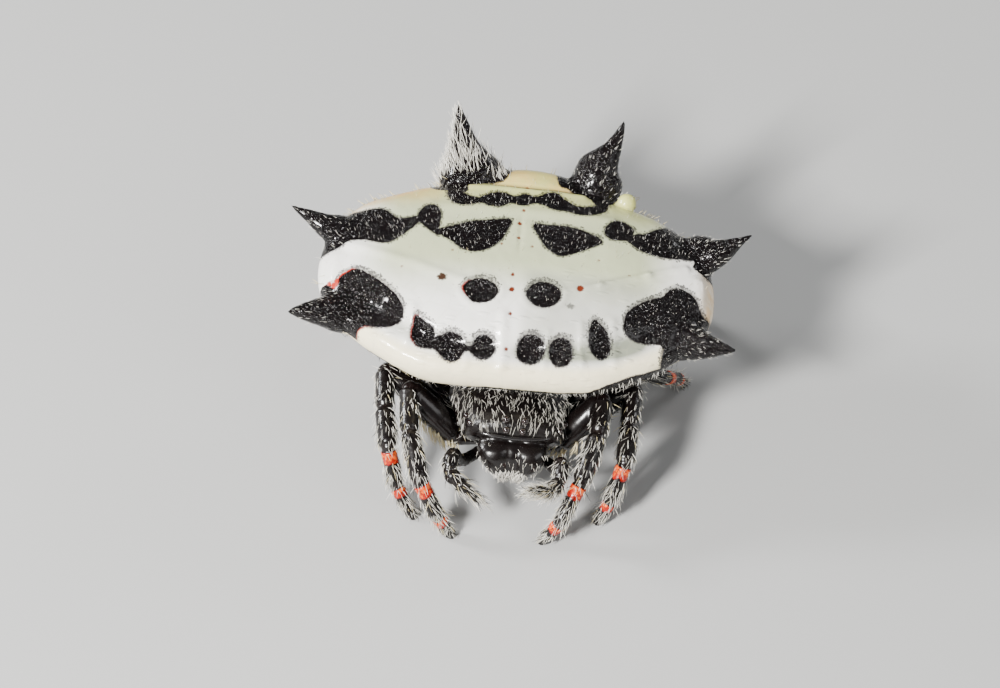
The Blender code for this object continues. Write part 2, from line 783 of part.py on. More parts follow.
def main():
    clear_scene()
    group = bpy.data.collections.new("spiny_orb_weaver")
    bpy.context.scene.collection.children.link(group)
    root = bpy.data.objects.new("spider", None)
    root.location = (0.0, BODY_SHIFT_Y * METRES_PER_MM, 0.0)
    group.objects.link(root)

    abdomen = make_abdomen()
    spinnerets = make_spinnerets()
    head = make_head()
    limbs = []
    for side, word in ((-1, "right"), (1, "left")):
        jaw = make_chelicera(side, word)
        limbs.append((jaw, (HEAD_LEAN + side * CHELICERA_SECTIONS[0][1], 0.0, CHELICERA_SECTIONS[0][0])))
    for name, joints in PALPS.items():
        limbs.append((make_palp(name, joints), joints[0]))
    for name, joints in LEGS.items():
        limbs.append((make_leg(name, joints), joints[0]))
    for limb, _ in limbs:
        cutters = head_pieces(GAP)
        if limb.name.startswith("leg"):
            cutters.append(floor_cutter())
        apply_boolean(limb, "DIFFERENCE", cutters)
    eyes = make_eyes(head)

    finish_node(abdomen, ABDOMEN_ORIGIN, "shield", group, root)
    finish_node(spinnerets, ABDOMEN_ORIGIN, "black_cuticle", group, root)
    finish_node(head, (0.0, 1.5, HEAD_WAIST), "black_cuticle", group, root)
    for limb, place in limbs:
        finish_node(limb, place, "black_cuticle", group, root)
    for eye in eyes:
        middle = sum((v.co for v in eye.data.vertices), Vector()) / len(eye.data.vertices)
        finish_node(eye, middle, "eye", group, root)


main()
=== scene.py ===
import math

import bmesh
import bpy
import numpy as np
from mathutils import Matrix, Vector


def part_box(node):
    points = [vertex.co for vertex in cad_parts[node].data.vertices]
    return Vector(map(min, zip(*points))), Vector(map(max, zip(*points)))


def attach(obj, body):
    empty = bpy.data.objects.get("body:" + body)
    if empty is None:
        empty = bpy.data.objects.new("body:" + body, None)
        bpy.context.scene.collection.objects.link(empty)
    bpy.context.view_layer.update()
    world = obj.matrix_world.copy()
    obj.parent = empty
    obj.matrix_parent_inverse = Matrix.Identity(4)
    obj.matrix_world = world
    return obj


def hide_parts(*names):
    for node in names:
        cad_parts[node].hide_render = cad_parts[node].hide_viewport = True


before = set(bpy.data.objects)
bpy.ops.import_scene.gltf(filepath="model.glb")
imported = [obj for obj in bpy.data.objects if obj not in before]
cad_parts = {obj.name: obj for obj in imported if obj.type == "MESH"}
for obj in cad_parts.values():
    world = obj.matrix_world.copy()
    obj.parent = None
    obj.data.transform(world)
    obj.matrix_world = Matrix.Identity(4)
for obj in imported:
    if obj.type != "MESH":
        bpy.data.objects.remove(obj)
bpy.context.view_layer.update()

# A spiny orb weaver's looks. All shapes are made in millimetres, in the spider's own frame, and
# become metres in finish_piece. The spider faces -Y, its left side is at +X, the floor is z = 0.

MM = 0.001
BODY_SHIFT_Y = -3.29
SEED = 20
# size of the small faces that each skin is melted into
ABDOMEN_VOXEL = 0.05
BODY_VOXEL = 0.04
SPINNERET_VOXEL = 0.02
COAT = 0.05  # how far the dark skin lies inside the solids, where bristles cover it
# bristle tones: 0 to 1 is pale, and these two stand for black and yellow bristles
DARK_TONE = -1.0
YELLOW_TONE = 2.0

# The abdomen's shapes
ABDOMEN_ORIGIN = np.array((0.0, 3.8, 4.8))
ABDOMEN_PITCH = math.radians(11.0)
SHIELD_STEPS = 128
SHIELD_OUTLINE = (
    (0.0, -3.3), (1.5, -3.26), (2.7, -3.06), (3.8, -2.56), (4.65, -1.95),
    (5.32, -1.25), (5.66, -0.4), (5.66, 0.5), (5.4, 1.4), (4.8, 2.15),
    (4.0, 2.62), (3.0, 3.02), (2.0, 3.32), (1.0, 3.48), (0.0, 3.52),
)
SHIELD_FRONT = 3.3
SHIELD_REAR = 3.52
# height, width share, front reach, rear reach
ABDOMEN_SECTIONS = (
    (0.98, 0.14, 0.46, 0.5), (0.93, 0.36, 1.17, 1.26), (0.84, 0.56, 1.83, 1.97),
    (0.68, 0.74, 2.42, 2.6), (0.45, 0.88, 2.88, 3.1), (0.16, 0.965, 3.17, 3.42),
    (-0.16, 1.0, 3.3, 3.52), (-0.54, 0.99, 3.28, 3.44), (-0.9, 0.925, 2.98, 3.25),
    (-1.15, 0.83, 2.36, 3.05), (-1.5, 0.7, 1.72, 2.86), (-2.05, 0.53, 1.2, 2.5),
    (-2.6, 0.37, 0.72, 2.1), (-3.0, 0.24, 0.26, 1.72), (-3.25, 0.13, -0.16, 1.32),
)
SHIELD_CROWN = (0.0, 0.15, 1.0)
BELLY_POLE = (0.0, 0.68, -3.32)
# each spine from root to tip: place and radius
SPINES = (
    (
        (3.9, -0.95, -0.5, 0.6), (4.68, -1.12, -0.28, 0.69), (5.05, -1.3, -0.16, 0.58),
        (5.37, -1.42, -0.08, 0.46), (5.69, -1.51, 0.0, 0.35), (5.97, -1.56, 0.06, 0.23),
        (6.23, -1.61, 0.1, 0.12), (6.43, -1.62, 0.12, 0.03),
    ),
    (
        (-3.9, -1.05, -0.5, 0.6), (-4.66, -1.29, -0.3, 0.69), (-5.02, -1.45, -0.18, 0.6),
        (-5.36, -1.52, -0.08, 0.49), (-5.68, -1.6, 0.0, 0.37), (-5.96, -1.66, 0.05, 0.26),
        (-6.2, -1.71, 0.08, 0.15), (-6.4, -1.76, 0.1, 0.04),
    ),
    (
        (4.3, 1.3, -0.42, 0.5), (5.09, 1.67, -0.1, 0.6), (5.43, 1.59, 0.08, 0.54),
        (5.7, 1.61, 0.25, 0.43), (5.95, 1.69, 0.4, 0.31), (6.19, 1.78, 0.56, 0.19),
        (6.43, 1.87, 0.7, 0.09), (6.63, 1.95, 0.8, 0.025),
    ),
    (
        (-4.2, 1.1, -0.38, 0.5), (-4.98, 1.18, -0.02, 0.58), (-5.34, 1.19, 0.16, 0.49),
        (-5.64, 1.23, 0.3, 0.37), (-5.94, 1.32, 0.42, 0.25), (-6.21, 1.4, 0.52, 0.16),
        (-6.45, 1.47, 0.6, 0.09), (-6.64, 1.55, 0.66, 0.025),
    ),
    (
        (1.75, 3.0, -0.55, 0.55), (2.02, 3.75, -0.18, 0.78), (2.08, 4.15, 0.2, 0.68),
        (2.22, 4.35, 0.46, 0.48), (2.38, 4.56, 0.7, 0.3), (2.5, 4.77, 0.92, 0.2),
        (2.58, 4.94, 1.1, 0.13), (2.67, 5.16, 1.36, 0.03),
    ),
    (
        (-1.4, 3.0, -0.5, 0.6), (-1.6, 3.72, -0.06, 0.95), (-1.73, 4.03, 0.26, 0.7),
        (-1.82, 4.23, 0.46, 0.5), (-1.9, 4.44, 0.66, 0.36), (-2.0, 4.74, 0.96, 0.22),
        (-2.08, 4.95, 1.17, 0.13), (-2.16, 5.15, 1.4, 0.03),
    ),
)
HAIRY_SPINE = 5
# how thick each spine's root is from top to bottom, as a share of its width
SPINE_FLATNESS = (0.85, 0.85, 0.8, 0.8, 0.75, 0.75)
# where the black of a spine starts, as a share of its length
SPINE_BLACK_FROM = (0.2, 0.2, 0.2, 0.2, 0.17, 0.17)
# low skirts that run from the rear spines along the rim
SKIRTS = (
    ((-1.5, 3.6, -0.3, 0.5), (-0.95, 3.62, -0.3, 0.32), (-0.6, 3.6, -0.34, 0.14)),
    ((1.9, 3.5, -0.4, 0.6), (1.45, 3.5, -0.34, 0.42), (1.1, 3.52, -0.34, 0.24), (0.85, 3.5, -0.36, 0.12)),
)
REAR_LOBE = ((0.2, 3.05, -0.25), (2.0, 1.1, 0.7))
SIDE_LOBE = ((2.95, 3.14, 0.12), (0.3, 0.32, 0.3))
RING_PLACE = (0.0, 0.68, -3.2)
RING_RADIUS = 0.62
RING_HEIGHT = 0.42
RING_BORE = 0.4
TUBERCLE = ((0.0, -0.2, -2.6), (0.0, -0.5, -3.25), 0.3)
SPINNERET_LENGTH = 0.62
SPINNERET_RADIUS = 0.15
SPINNERET_PAIRS = ((0.15, -0.14, 1.0), (0.17, 0.12, 0.85), (0.07, 0.02, 0.7))

# Black marks of the shield, each a closed outline in the abdomen's frame
MARKS = {
    "rear_side_right": (
        (-6.2, 0.9), (-5.6, 1.5), (-5.0, 1.75), (-4.65, 1.75), (-4.21, 1.8), (-3.86, 1.66),
        (-3.62, 1.41), (-3.3, 1.4), (-2.94, 1.5), (-2.98, 1.33), (-3.32, 0.93), (-3.81, 0.57),
        (-4.44, 0.68), (-4.81, 0.68), (-5.0, 0.6), (-5.3, 0.42), (-5.6, 0.36), (-6.2, 0.36),
    ),
    "round_right": (
        (-2.96, 1.5), (-2.85, 1.84), (-2.66, 1.95), (-2.47, 1.87), (-2.37, 1.6),
        (-2.4, 1.2), (-2.34, 0.9), (-2.58, 1.06), (-2.86, 1.3),
    ),
    "drop_right": (
        (-2.34, 1.0), (-1.97, 1.19), (-1.49, 1.4), (-0.9, 1.53), (-0.36, 1.62), (-0.42, 1.3),
        (-0.62, 0.83), (-0.92, 0.56), (-1.27, 0.42), (-1.63, 0.48), (-1.94, 0.72),
    ),
    "rear_row": (
        (-2.2, 2.72), (-2.0, 2.62), (-1.79, 2.6), (-1.53, 2.47), (-1.28, 2.44), (-1.08, 2.6),
        (-0.81, 2.75), (-0.5, 2.72), (-0.27, 2.6), (0.02, 2.76), (0.33, 2.64), (0.62, 2.84),
        (0.93, 2.89), (1.2, 2.66), (1.54, 2.47), (1.97, 2.56), (2.36, 2.9), (2.36, 2.5),
        (1.98, 2.2), (1.6, 2.12), (1.24, 2.2), (0.9, 2.22), (0.6, 2.36), (0.32, 2.42), (-0.02, 2.26),
        (-0.37, 2.34), (-0.68, 2.13), (-0.97, 2.13), (-1.22, 2.24), (-1.55, 2.12), (-1.86, 2.1), (-2.1, 2.3),
    ),
    "centre_oval_right": (
        (-1.48, -0.9), (-1.25, -0.67), (-0.97, -0.59), (-0.67, -0.7), (-0.53, -0.92),
        (-0.66, -1.18), (-0.93, -1.31), (-1.22, -1.26),
    ),
    "front_side_right": (
        (-6.2, -1.02), (-5.6, -0.96), (-5.22, -0.97), (-5.04, -0.85), (-4.98, -0.62), (-4.82, -0.5),
        (-4.6, -0.42), (-4.15, -0.66), (-3.75, -0.96), (-3.46, -1.21), (-3.2, -1.6), (-3.2, -1.92),
        (-3.4, -2.06), (-3.62, -2.12), (-3.9, -2.1), (-4.18, -2.04), (-4.4, -2.14), (-4.46, -2.6),
        (-5.2, -2.9), (-6.2, -2.4),
    ),
    "front_row_right": (
        (-2.74, -1.87), (-2.5, -2.03), (-2.29, -2.17), (-2.2, -2.4), (-2.02, -2.43), (-1.74, -2.31),
        (-1.45, -2.41), (-1.28, -2.65), (-1.07, -2.64), (-0.98, -2.44), (-0.78, -2.33), (-0.55, -2.44),
        (-0.46, -2.66), (-0.55, -2.84), (-0.75, -2.91), (-0.97, -2.86), (-1.12, -2.73), (-1.31, -2.75),
        (-1.43, -2.93), (-1.67, -2.99), (-1.93, -2.89), (-2.13, -2.73), (-2.41, -2.71), (-2.67, -2.63),
        (-2.82, -2.41), (-2.8, -2.1),
    ),
    "rear_side_left": (
        (2.98, 1.4), (3.3, 1.6), (3.61, 1.72), (3.95, 2.02), (4.4, 2.35), (5.3, 2.4),
        (6.2, 2.1), (6.2, 0.84), (5.7, 0.74), (5.47, 0.74), (5.26, 0.95), (5.05, 1.17),
        (4.81, 1.15), (4.35, 1.03), (3.92, 1.02), (3.42, 1.14), (3.06, 1.38),
    ),
    "oval_left": (
        (2.42, 1.61), (2.53, 1.88), (2.79, 2.04), (3.03, 1.98), (3.19, 1.76),
        (3.07, 1.48), (2.83, 1.36), (2.55, 1.4),
    ),
    "drop_left": (
        (0.37, 1.52), (0.81, 1.54), (1.38, 1.55), (1.9, 1.41), (2.31, 1.19),
        (1.94, 0.9), (1.52, 0.66), (1.17, 0.55), (0.79, 0.78), (0.55, 1.16),
    ),
    "centre_oval_left": (
        (0.35, -0.92), (0.47, -0.66), (0.76, -0.52), (1.07, -0.58), (1.26, -0.84),
        (1.15, -1.12), (0.84, -1.28), (0.55, -1.19),
    ),
    "front_side_left": (
        (6.2, -0.86), (5.6, -0.72), (5.38, -0.62), (5.23, -0.46), (5.1, -0.22), (4.86, -0.07),
        (4.6, -0.05), (4.36, -0.22), (4.24, -0.42), (3.86, -0.63), (3.52, -0.86), (3.27, -1.15),
        (3.22, -1.35), (3.22, -1.63), (3.42, -1.8), (3.73, -1.87), (4.09, -1.81), (4.3, -1.78),
        (4.38, -1.92), (4.34, -2.2), (4.6, -2.8), (6.2, -2.6),
    ),
    "front_inner_left": (
        (0.27, -2.43), (0.39, -2.26), (0.64, -2.21), (0.89, -2.36), (0.94, -2.63),
        (0.81, -2.85), (0.57, -2.92), (0.31, -2.85), (0.24, -2.64),
    ),
    "front_middle_left": (
        (1.15, -2.54), (1.22, -2.32), (1.42, -2.2), (1.65, -2.28), (1.75, -2.54),
        (1.7, -2.77), (1.5, -2.89), (1.27, -2.84),
    ),
    "front_outer_left": (
        (2.32, -1.54), (2.5, -1.67), (2.69, -1.87), (2.82, -2.16), (2.78, -2.44),
        (2.6, -2.56), (2.42, -2.44), (2.26, -2.19), (2.25, -1.86),
    ),
}
# Black feet of the two rear spines, where they come over the rim
SPINE_FEET = {
    "foot_right": (
        (-2.7, 2.95), (-2.25, 2.74), (-1.9, 2.56), (-1.66, 2.76), (-1.66, 2.96), (-1.32, 3.12),
        (-0.85, 3.3), (-0.62, 3.42), (-0.62, 4.1), (-2.9, 4.1),
    ),
    "foot_left": (
        (0.98, 3.42), (1.25, 3.3), (1.58, 3.1), (1.93, 2.94), (2.04, 2.74), (2.3, 2.7),
        (2.5, 2.92), (2.75, 3.12), (3.0, 4.1), (1.1, 4.1),
    ),
}
# Round sunk places inside the large side patches: place, half width, half length
SUNK_PLACES = (
    (-4.5, -0.98, 0.46, 0.38), (-3.65, -1.69, 0.48, 0.44), (-4.77, -1.55, 0.36, 0.34),
    (3.83, -1.29, 0.52, 0.5), (4.75, -0.61, 0.45, 0.42), (-3.75, 1.06, 0.5, 0.34),
    (-4.6, 1.2, 0.3, 0.4), (3.75, 1.4, 0.5, 0.36), (4.7, 1.6, 0.3, 0.4),
)
# Low ridges: start and end on the shield, height, half width
RIDGES = (
    ((1.15, -0.8), (2.4, -0.38), 0.05, 0.12),
    ((2.4, -0.38), (3.74, 0.2), 0.08, 0.12),
    ((3.74, 0.2), (4.8, 0.74), 0.07, 0.13),
    ((-1.35, -0.72), (-4.9, 0.5), 0.055, 0.16),
    ((-2.6, 2.0), (2.6, 2.05), 0.045, 0.2),
    ((-1.6, 2.98), (1.7, 2.98), 0.05, 0.13),
    ((-0.2, -3.0), (-0.28, -1.7), 0.06, 0.16),
    ((1.02, -2.95), (1.04, -2.05), 0.03, 0.1),
    ((2.08, -2.8), (1.95, -1.7), 0.05, 0.11),
    ((3.0, -2.6), (2.85, -1.5), 0.05, 0.14),
    ((-1.2, -3.0), (-1.25, -2.9), 0.03, 0.12),
    ((-2.95, -2.5), (-2.85, -1.6), 0.05, 0.13),
    ((5.3, -0.3), (5.25, 0.4), 0.06, 0.2),
    ((-5.25, -0.6), (-5.2, 0.1), 0.07, 0.22),
)
MARK_GROWTH = 0.035
REAR_ROW_GROWTH = 0.02
MARK_DEPTH = 0.06
PIT_DEPTH = 0.02
GROOVE_DEPTH = 0.07  # of the groove between the rear lobe and the shield
LOOP_STEPS = 5  # points for each side of a mark's outline
OUTSIDE = -0.6  # depth that stands for a place far outside a mark
FRONT_MARKS = (
    "front_row_right", "front_inner_left", "front_middle_left", "front_outer_left",
    "front_side_right", "front_side_left", "centre_oval_right", "centre_oval_left",
)
# Small brown pits: place and half width
SMALL_PITS = (
    (1.83, -0.57, 0.1), (0.05, 3.11, 0.06), (0.02, 2.0, 0.05),
    (-0.06, 1.54, 0.06), (-0.05, 1.01, 0.05), (-0.52, 0.74, 0.04), (0.35, 0.73, 0.04),
    (-0.12, -0.32, 0.055), (-0.11, -0.82, 0.08), (-0.09, -1.62, 0.055), (-0.11, -2.63, 0.055),
    (-3.3, -0.3, 0.03), (3.2, 0.1, 0.03), (-1.9, 0.35, 0.03), (2.3, 0.5, 0.03),
)
# Soft blots: place, half width and half length
BROWN_BLOT = (-2.13, -0.6, 0.2, 0.16)
GREY_BLOT = (1.6, -1.17, 0.2, 0.14)
# how far the smoke of the front marks drifts, and how wide smoke is
SMOKE_SHIFT = 0.08
SMOKE_WIDTH = 0.2
# red-brown patches beside the marks: strength, place, half width, half length
RUST_PATCHES = (
    (0.7, -1.5, -0.9, 0.14, 0.3), (0.6, -2.8, -2.2, 0.14, 0.4), (0.5, -4.3, -2.08, 0.2, 0.15),
)

# The dark body's shapes
HEAD_STEPS = 64
HEAD_WAIST = 1.95
HEAD_LEAN = 0.36  # how far the face stands to its left of the abdomen's middle
HEAD_LEAN_FROM = 3.0  # the y at which the head part starts to lean
# y, half width, top, bottom, squareness
HEAD_SECTIONS = (
    (-0.02, 0.86, 2.68, 2.28, 2.4), (0.06, 1.14, 2.83, 2.08, 2.5), (0.24, 1.36, 2.93, 1.72, 2.5),
    (0.5, 1.46, 2.99, 1.3, 2.4), (0.9, 1.54, 3.0, 1.05, 2.3), (1.35, 1.66, 2.93, 0.96, 2.2),
    (1.85, 1.76, 2.74, 0.95, 2.1), (2.3, 1.66, 2.46, 1.0, 2.0), (2.7, 1.36, 2.18, 1.12, 2.0),
    (2.98, 0.9, 1.98, 1.3, 2.0),
)
HEAD_FRONT_POLE = (0.0, -0.07, 2.48)
HEAD_REAR_POLE = (0.0, 3.08, 1.66)
STERNUM_SHARE = 0.62
PEDICEL = ((0.0, 2.6, 1.62), (0.0, 4.1, 2.42), 0.3)
MOUTHPARTS = (
    ((0.36, 0.42, 1.22), (0.27, 0.34, 0.3)),
    ((-0.36, 0.42, 1.22), (0.27, 0.34, 0.3)),
    ((0.0, 0.78, 1.08), (0.24, 0.26, 0.2)),
)
EYE_NODES = [
    f"eye_{place}_{side}"
    for place in ("front_middle", "rear_middle", "front_side", "rear_side")
    for side in ("right", "left")
]
# height, x, y, radius
CHELICERA_SECTIONS = (
    (2.3, 0.54, 0.1, 0.34), (2.2, 0.56, 0.02, 0.47), (2.0, 0.57, -0.06, 0.53), (1.74, 0.53, -0.12, 0.5),
    (1.5, 0.45, -0.16, 0.43), (1.28, 0.36, -0.16, 0.34), (1.1, 0.28, -0.12, 0.26), (1.0, 0.25, -0.1, 0.15),
)
JAW_CLOSER = 0.08
# the shiny lip of the head over the jaws: half of its line, and its thickness
LIP_LINE = ((0.0, -0.1, 2.5), (0.45, -0.085, 2.51), (0.85, -0.02, 2.5), (1.12, 0.1, 2.47))
LIP_RADIUS = 0.055
FANG = ((0.4, -0.12, 1.14), (0.26, -0.16, 0.86), (0.1, -0.02, 0.82))
FANG_RADII = (0.12, 0.09, 0.03)
PALP_RADII = ((0.2, 0.2), (0.21, 0.23), (0.24, 0.23), (0.22, 0.24), (0.24, 0.12))
PALPS = {
    "palp_right": (
        (-0.5, 0.42, 1.38), (-1.1, -0.2, 1.44), (-1.36, -0.52, 2.1), (-1.42, -1.0, 1.88),
        (-1.16, -1.2, 1.66), (-0.38, -1.42, 1.14),
    ),
    "palp_left": (
        (1.1, 0.42, 1.38), (1.7, -0.2, 1.44), (1.78, -0.46, 2.1), (1.8, -0.95, 1.84),
        (1.58, -1.28, 1.76), (0.98, -1.72, 2.08),
    ),
}
LEG_RADII = ((0.25, 0.29), (0.3, 0.34), (0.32, 0.3), (0.3, 0.29), (0.27, 0.26), (0.25, 0.15))
LEG_BULGE = (0.02, 0.13, 0.02, 0.04, 0.01, 0.02)
HIND_LEG_SHARE = 0.9
# orange rings: the leg's piece, and the ring's middle and half length along it
LEG_RINGS = {4: (0.2, 0.25), 5: (0.13, 0.19)}
NO_RING = -0.3
# bristles per square millimetre on each piece of a leg and of a palp, and their lengths
LEG_DENSITY = (4.0, 20.0, 62.0, 74.0, 120.0, 300.0)
PALP_DENSITY = (12.0, 34.0, 76.0, 100.0, 170.0, 170.0)
LEG_BRISTLE_LENGTH = (0.22, 0.36, 0.27, 0.33, 0.37, 0.32)
PALP_BRISTLE_LENGTH = (0.2, 0.24, 0.28, 0.36, 0.46, 0.4)
LEGS = {
    "leg_right_1": (
        (-0.5, 0.96, 1.36), (-1.34, 0.74, 1.5), (-2.76, 1.1, 2.9), (-2.64, -0.16, 2.42),
        (-2.19, -1.42, 1.74), (-1.6, -1.78, 0.76), (-1.15, -1.79, 0.0),
    ),
    "leg_left_1": (
        (1.0, 0.96, 1.36), (1.68, 0.78, 1.5), (2.79, 1.46, 2.84), (2.76, 0.36, 2.54),
        (2.38, -0.92, 1.78), (1.89, -1.6, 0.76), (1.42, -1.69, 0.0),
    ),
    "leg_right_2": (
        (-0.58, 1.54, 1.36), (-1.48, 1.5, 1.46), (-3.5, 2.06, 2.56), (-3.42, 0.9, 2.2),
        (-3.2, -0.2, 1.74), (-2.86, -0.7, 0.7), (-2.3, -1.2, 0.0),
    ),
    "leg_left_2": (
        (0.92, 1.54, 1.36), (1.76, 1.52, 1.44), (3.66, 2.56, 2.36), (3.63, 1.28, 2.08),
        (3.59, 0.12, 1.68), (3.29, -0.5, 0.74), (2.97, -0.72, 0.0),
    ),
    "leg_right_3": (
        (-0.64, 2.1, 1.34), (-1.52, 2.26, 1.4), (-3.05, 3.5, 2.12), (-3.6, 4.0, 2.06),
        (-4.2, 4.7, 1.6), (-4.62, 5.52, 0.8), (-4.78, 6.2, 0.0),
    ),
    "leg_left_3": (
        (0.86, 2.1, 1.34), (1.68, 2.26, 1.4), (3.1, 3.35, 2.08), (3.76, 3.6, 1.94),
        (4.59, 3.86, 1.56), (4.96, 4.64, 0.8), (5.2, 5.22, 0.0),
    ),
    "leg_right_4": (
        (-0.7, 2.6, 1.34), (-1.34, 3.06, 1.4), (-2.9, 5.2, 2.0), (-3.45, 5.98, 1.94),
        (-4.0, 7.15, 1.42), (-4.25, 8.02, 0.62), (-4.22, 8.42, 0.0),
    ),
    "leg_left_4": (
        (0.7, 2.6, 1.34), (1.34, 3.06, 1.4), (3.0, 5.15, 2.0), (3.58, 5.9, 1.94),
        (4.2, 7.02, 1.42), (4.52, 7.86, 0.62), (4.52, 8.28, 0.0),
    ),
}


# Mesh tools
def catmull_rom(p0, p1, p2, p3, f):
    """The point at share f of the way from p1 to p2 on a smooth curve through all four."""
    return 0.5 * (
        2 * p1 + (p2 - p0) * f + (2 * p0 - 5 * p1 + 4 * p2 - p3) * f**2 + (3 * p1 - p0 - 3 * p2 + p3) * f**3
    )


def smooth_chain(points, count):
    """count points along a Catmull-Rom curve through points."""
    points = [np.array(p, float) for p in points]
    last = len(points) - 1
    read = []
    for i in range(count):
        t = i / (count - 1) * last
        k = min(int(t), last - 1)
        f = t - k
        p1, p2 = points[k], points[k + 1]
        p0 = points[k - 1] if k > 0 else 2 * p1 - p2
        p3 = points[k + 2] if k + 2 <= last else 2 * p2 - p1
        read.append(catmull_rom(p0, p1, p2, p3, f))
    return np.array(read)


def smooth_loop(points, per_side):
    """A closed Catmull-Rom curve through points, per_side points for each side."""
    points = np.array(points, float)
    p0, p1 = np.roll(points, 1, 0), points
    p2, p3 = np.roll(points, -1, 0), np.roll(points, -2, 0)
    parts = [catmull_rom(p0, p1, p2, p3, i / per_side) for i in range(per_side)]
    return np.stack(parts, 1).reshape(-1, points.shape[1])


def mirrored(half):
    """A closed outline from its half at +X."""
    return np.vstack([half, half[-2:0:-1] * (-1, 1)])


def unit(v):
    v = np.asarray(v, float)
    return v / np.maximum(np.linalg.norm(v, axis=-1, keepdims=True), 1e-12)


def loft(rings, start_pole, end_pole):
    """Points and faces of a closed surface over rings of equally many points."""
    rings = [np.asarray(r, float) for r in rings]
    count = len(rings[0])
    points = np.vstack(rings + [np.array([start_pole, end_pole], float)])
    faces = []
    for k in range(len(rings) - 1):
        low, high = k * count, (k + 1) * count
        for i in range(count):
            j = (i + 1) % count
            faces.append((low + i, low + j, high + j, high + i))
    first, last = len(points) - 2, len(points) - 1
    top = (len(rings) - 1) * count
    for i in range(count):
        j = (i + 1) % count
        faces.append((first, j, i))
        faces.append((last, top + i, top + j))
    volume = 0.0
    for face in faces:
        a = points[face[0]]
        for b, c in zip(face[1:], face[2:]):
            volume += np.dot(a, np.cross(points[b], points[c]))
    if volume < 0:
        faces = [tuple(reversed(face)) for face in faces]
    return points, faces


def circle(centre, radius, side, up, steps):
    turn = np.linspace(0, 2 * math.pi, steps, endpoint=False)[:, None]
    return centre + radius * (np.cos(turn) * side + np.sin(turn) * up)


def across(direction):
    """Two unit vectors square to the direction and to each other."""
    along = unit(direction)
    helper = np.array((0.0, 0.0, 1.0)) if abs(along[2]) < 0.9 else np.array((1.0, 0.0, 0.0))
    side = unit(np.cross(along, helper))
    return side, unit(np.cross(along, side))


def limb_piece(start, end, start_radius, end_radius, bulge, steps=48):
    """One piece of a leg or palp: a tapered body with rounded ends that swells between them."""
    start, end = np.array(start, float), np.array(end, float)
    axis = unit(end - start)
    side, up = across(axis)
    cap = 0.85
    angles = [math.radians(angle) for angle in (16, 35, 55, 75)]
    rings = []
    for a in reversed(angles):
        centre = start - axis * start_radius * cap * math.sin(a)
        rings.append(circle(centre, start_radius * math.cos(a), side, up, steps))
    for share in np.linspace(0, 1, 11):
        radius = start_radius + (end_radius - start_radius) * share + bulge * math.sin(math.pi * share)
        rings.append(circle(start + (end - start) * share, radius, side, up, steps))
    for a in angles:
        centre = end + axis * end_radius * cap * math.sin(a)
        rings.append(circle(centre, end_radius * math.cos(a), side, up, steps))
    return loft(rings, start - axis * start_radius * cap, end + axis * end_radius * cap)


# how far a tube's rounded ends stand out, as a share of its radius there
ROOT_CAP = 0.5
TIP_CAP = 0.8


def tube(points, radii, steps=28, flatness=None):
    """A tapered tube with rounded ends along a curved line of points."""
    points = [np.array(p, float) for p in points]
    flatness = np.ones(len(points)) if flatness is None else flatness
    side = across(points[1] - points[0])[0]
    rings = []
    for i, (point, radius, flat) in enumerate(zip(points, radii, flatness)):
        along = unit(points[min(i + 1, len(points) - 1)] - points[max(i - 1, 0)])
        up = unit(np.cross(along, side))
        side = unit(np.cross(up, along))
        rings.append(circle(point, radius, side, up * flat, steps))
    first = points[0] + unit(points[0] - points[1]) * radii[0] * ROOT_CAP
    last = points[-1] + unit(points[-1] - points[-2]) * radii[-1] * TIP_CAP
    return loft(rings, first, last)


def ball(centre, radii, steps=32, rings=16):
    centre, radii = np.array(centre, float), np.array(radii, float)
    made = []
    for i in range(1, rings):
        a = math.pi * i / rings
        ring = circle(np.zeros(3), math.sin(a), np.array((1.0, 0, 0)), np.array((0, 1.0, 0)), steps)
        ring[:, 2] = math.cos(a)
        made.append(ring * radii + centre)
    return loft(made, centre + (0, 0, radii[2]), centre - (0, 0, radii[2]))


def joined(shapes):
    """One list of points and faces from several."""
    points, faces, offset = [], [], 0
    for shape_points, shape_faces in shapes:
        points.append(shape_points)
        faces.extend([tuple(i + offset for i in face) for face in shape_faces])
        offset += len(shape_points)
    return np.vstack(points), faces


def object_from(name, shape):
    points, faces = shape
    mesh = bpy.data.meshes.new(name)
    mesh.from_pydata(np.asarray(points).tolist(), [], faces)
    thing = bpy.data.objects.new(name, mesh)
    bpy.context.scene.collection.objects.link(thing)
    return thing


def one_skin(name, shapes, voxel):
    """Melts overlapping closed shapes into one skin of even small faces, in millimetres."""
    thing = object_from(name, joined(shapes))
    modifier = thing.modifiers.new("melt", "REMESH")
    modifier.mode = "VOXEL"
    modifier.voxel_size = voxel
    modifier.adaptivity = 0.0
    graph = bpy.context.evaluated_depsgraph_get()
    melted = bpy.data.meshes.new_from_object(thing.evaluated_get(graph))
    thing.modifiers.clear()
    old = thing.data
    thing.data = melted
    bpy.data.meshes.remove(old)
    keep_largest(thing.data)
    return thing


def keep_largest(mesh):
    """Leaves the largest connected surface of a mesh."""
    edges = edges_of(mesh)
    label = np.arange(len(mesh.vertices))
    while True:
        low = np.minimum(label[edges[:, 0]], label[edges[:, 1]])
        fresh = label.copy()
        np.minimum.at(fresh, edges[:, 0], low)
        np.minimum.at(fresh, edges[:, 1], low)
        fresh = fresh[fresh]
        if np.array_equal(fresh, label):
            break
        label = fresh
    names, counts = np.unique(label, return_counts=True)
    if len(names) == 1:
        return
    keep = label == names[np.argmax(counts)]
    surface = bmesh.new()
    surface.from_mesh(mesh)
    surface.verts.ensure_lookup_table()
    gone = [surface.verts[i] for i in np.nonzero(~keep)[0]]
    bmesh.ops.delete(surface, geom=gone, context="VERTS")
    surface.to_mesh(mesh)
    surface.free()


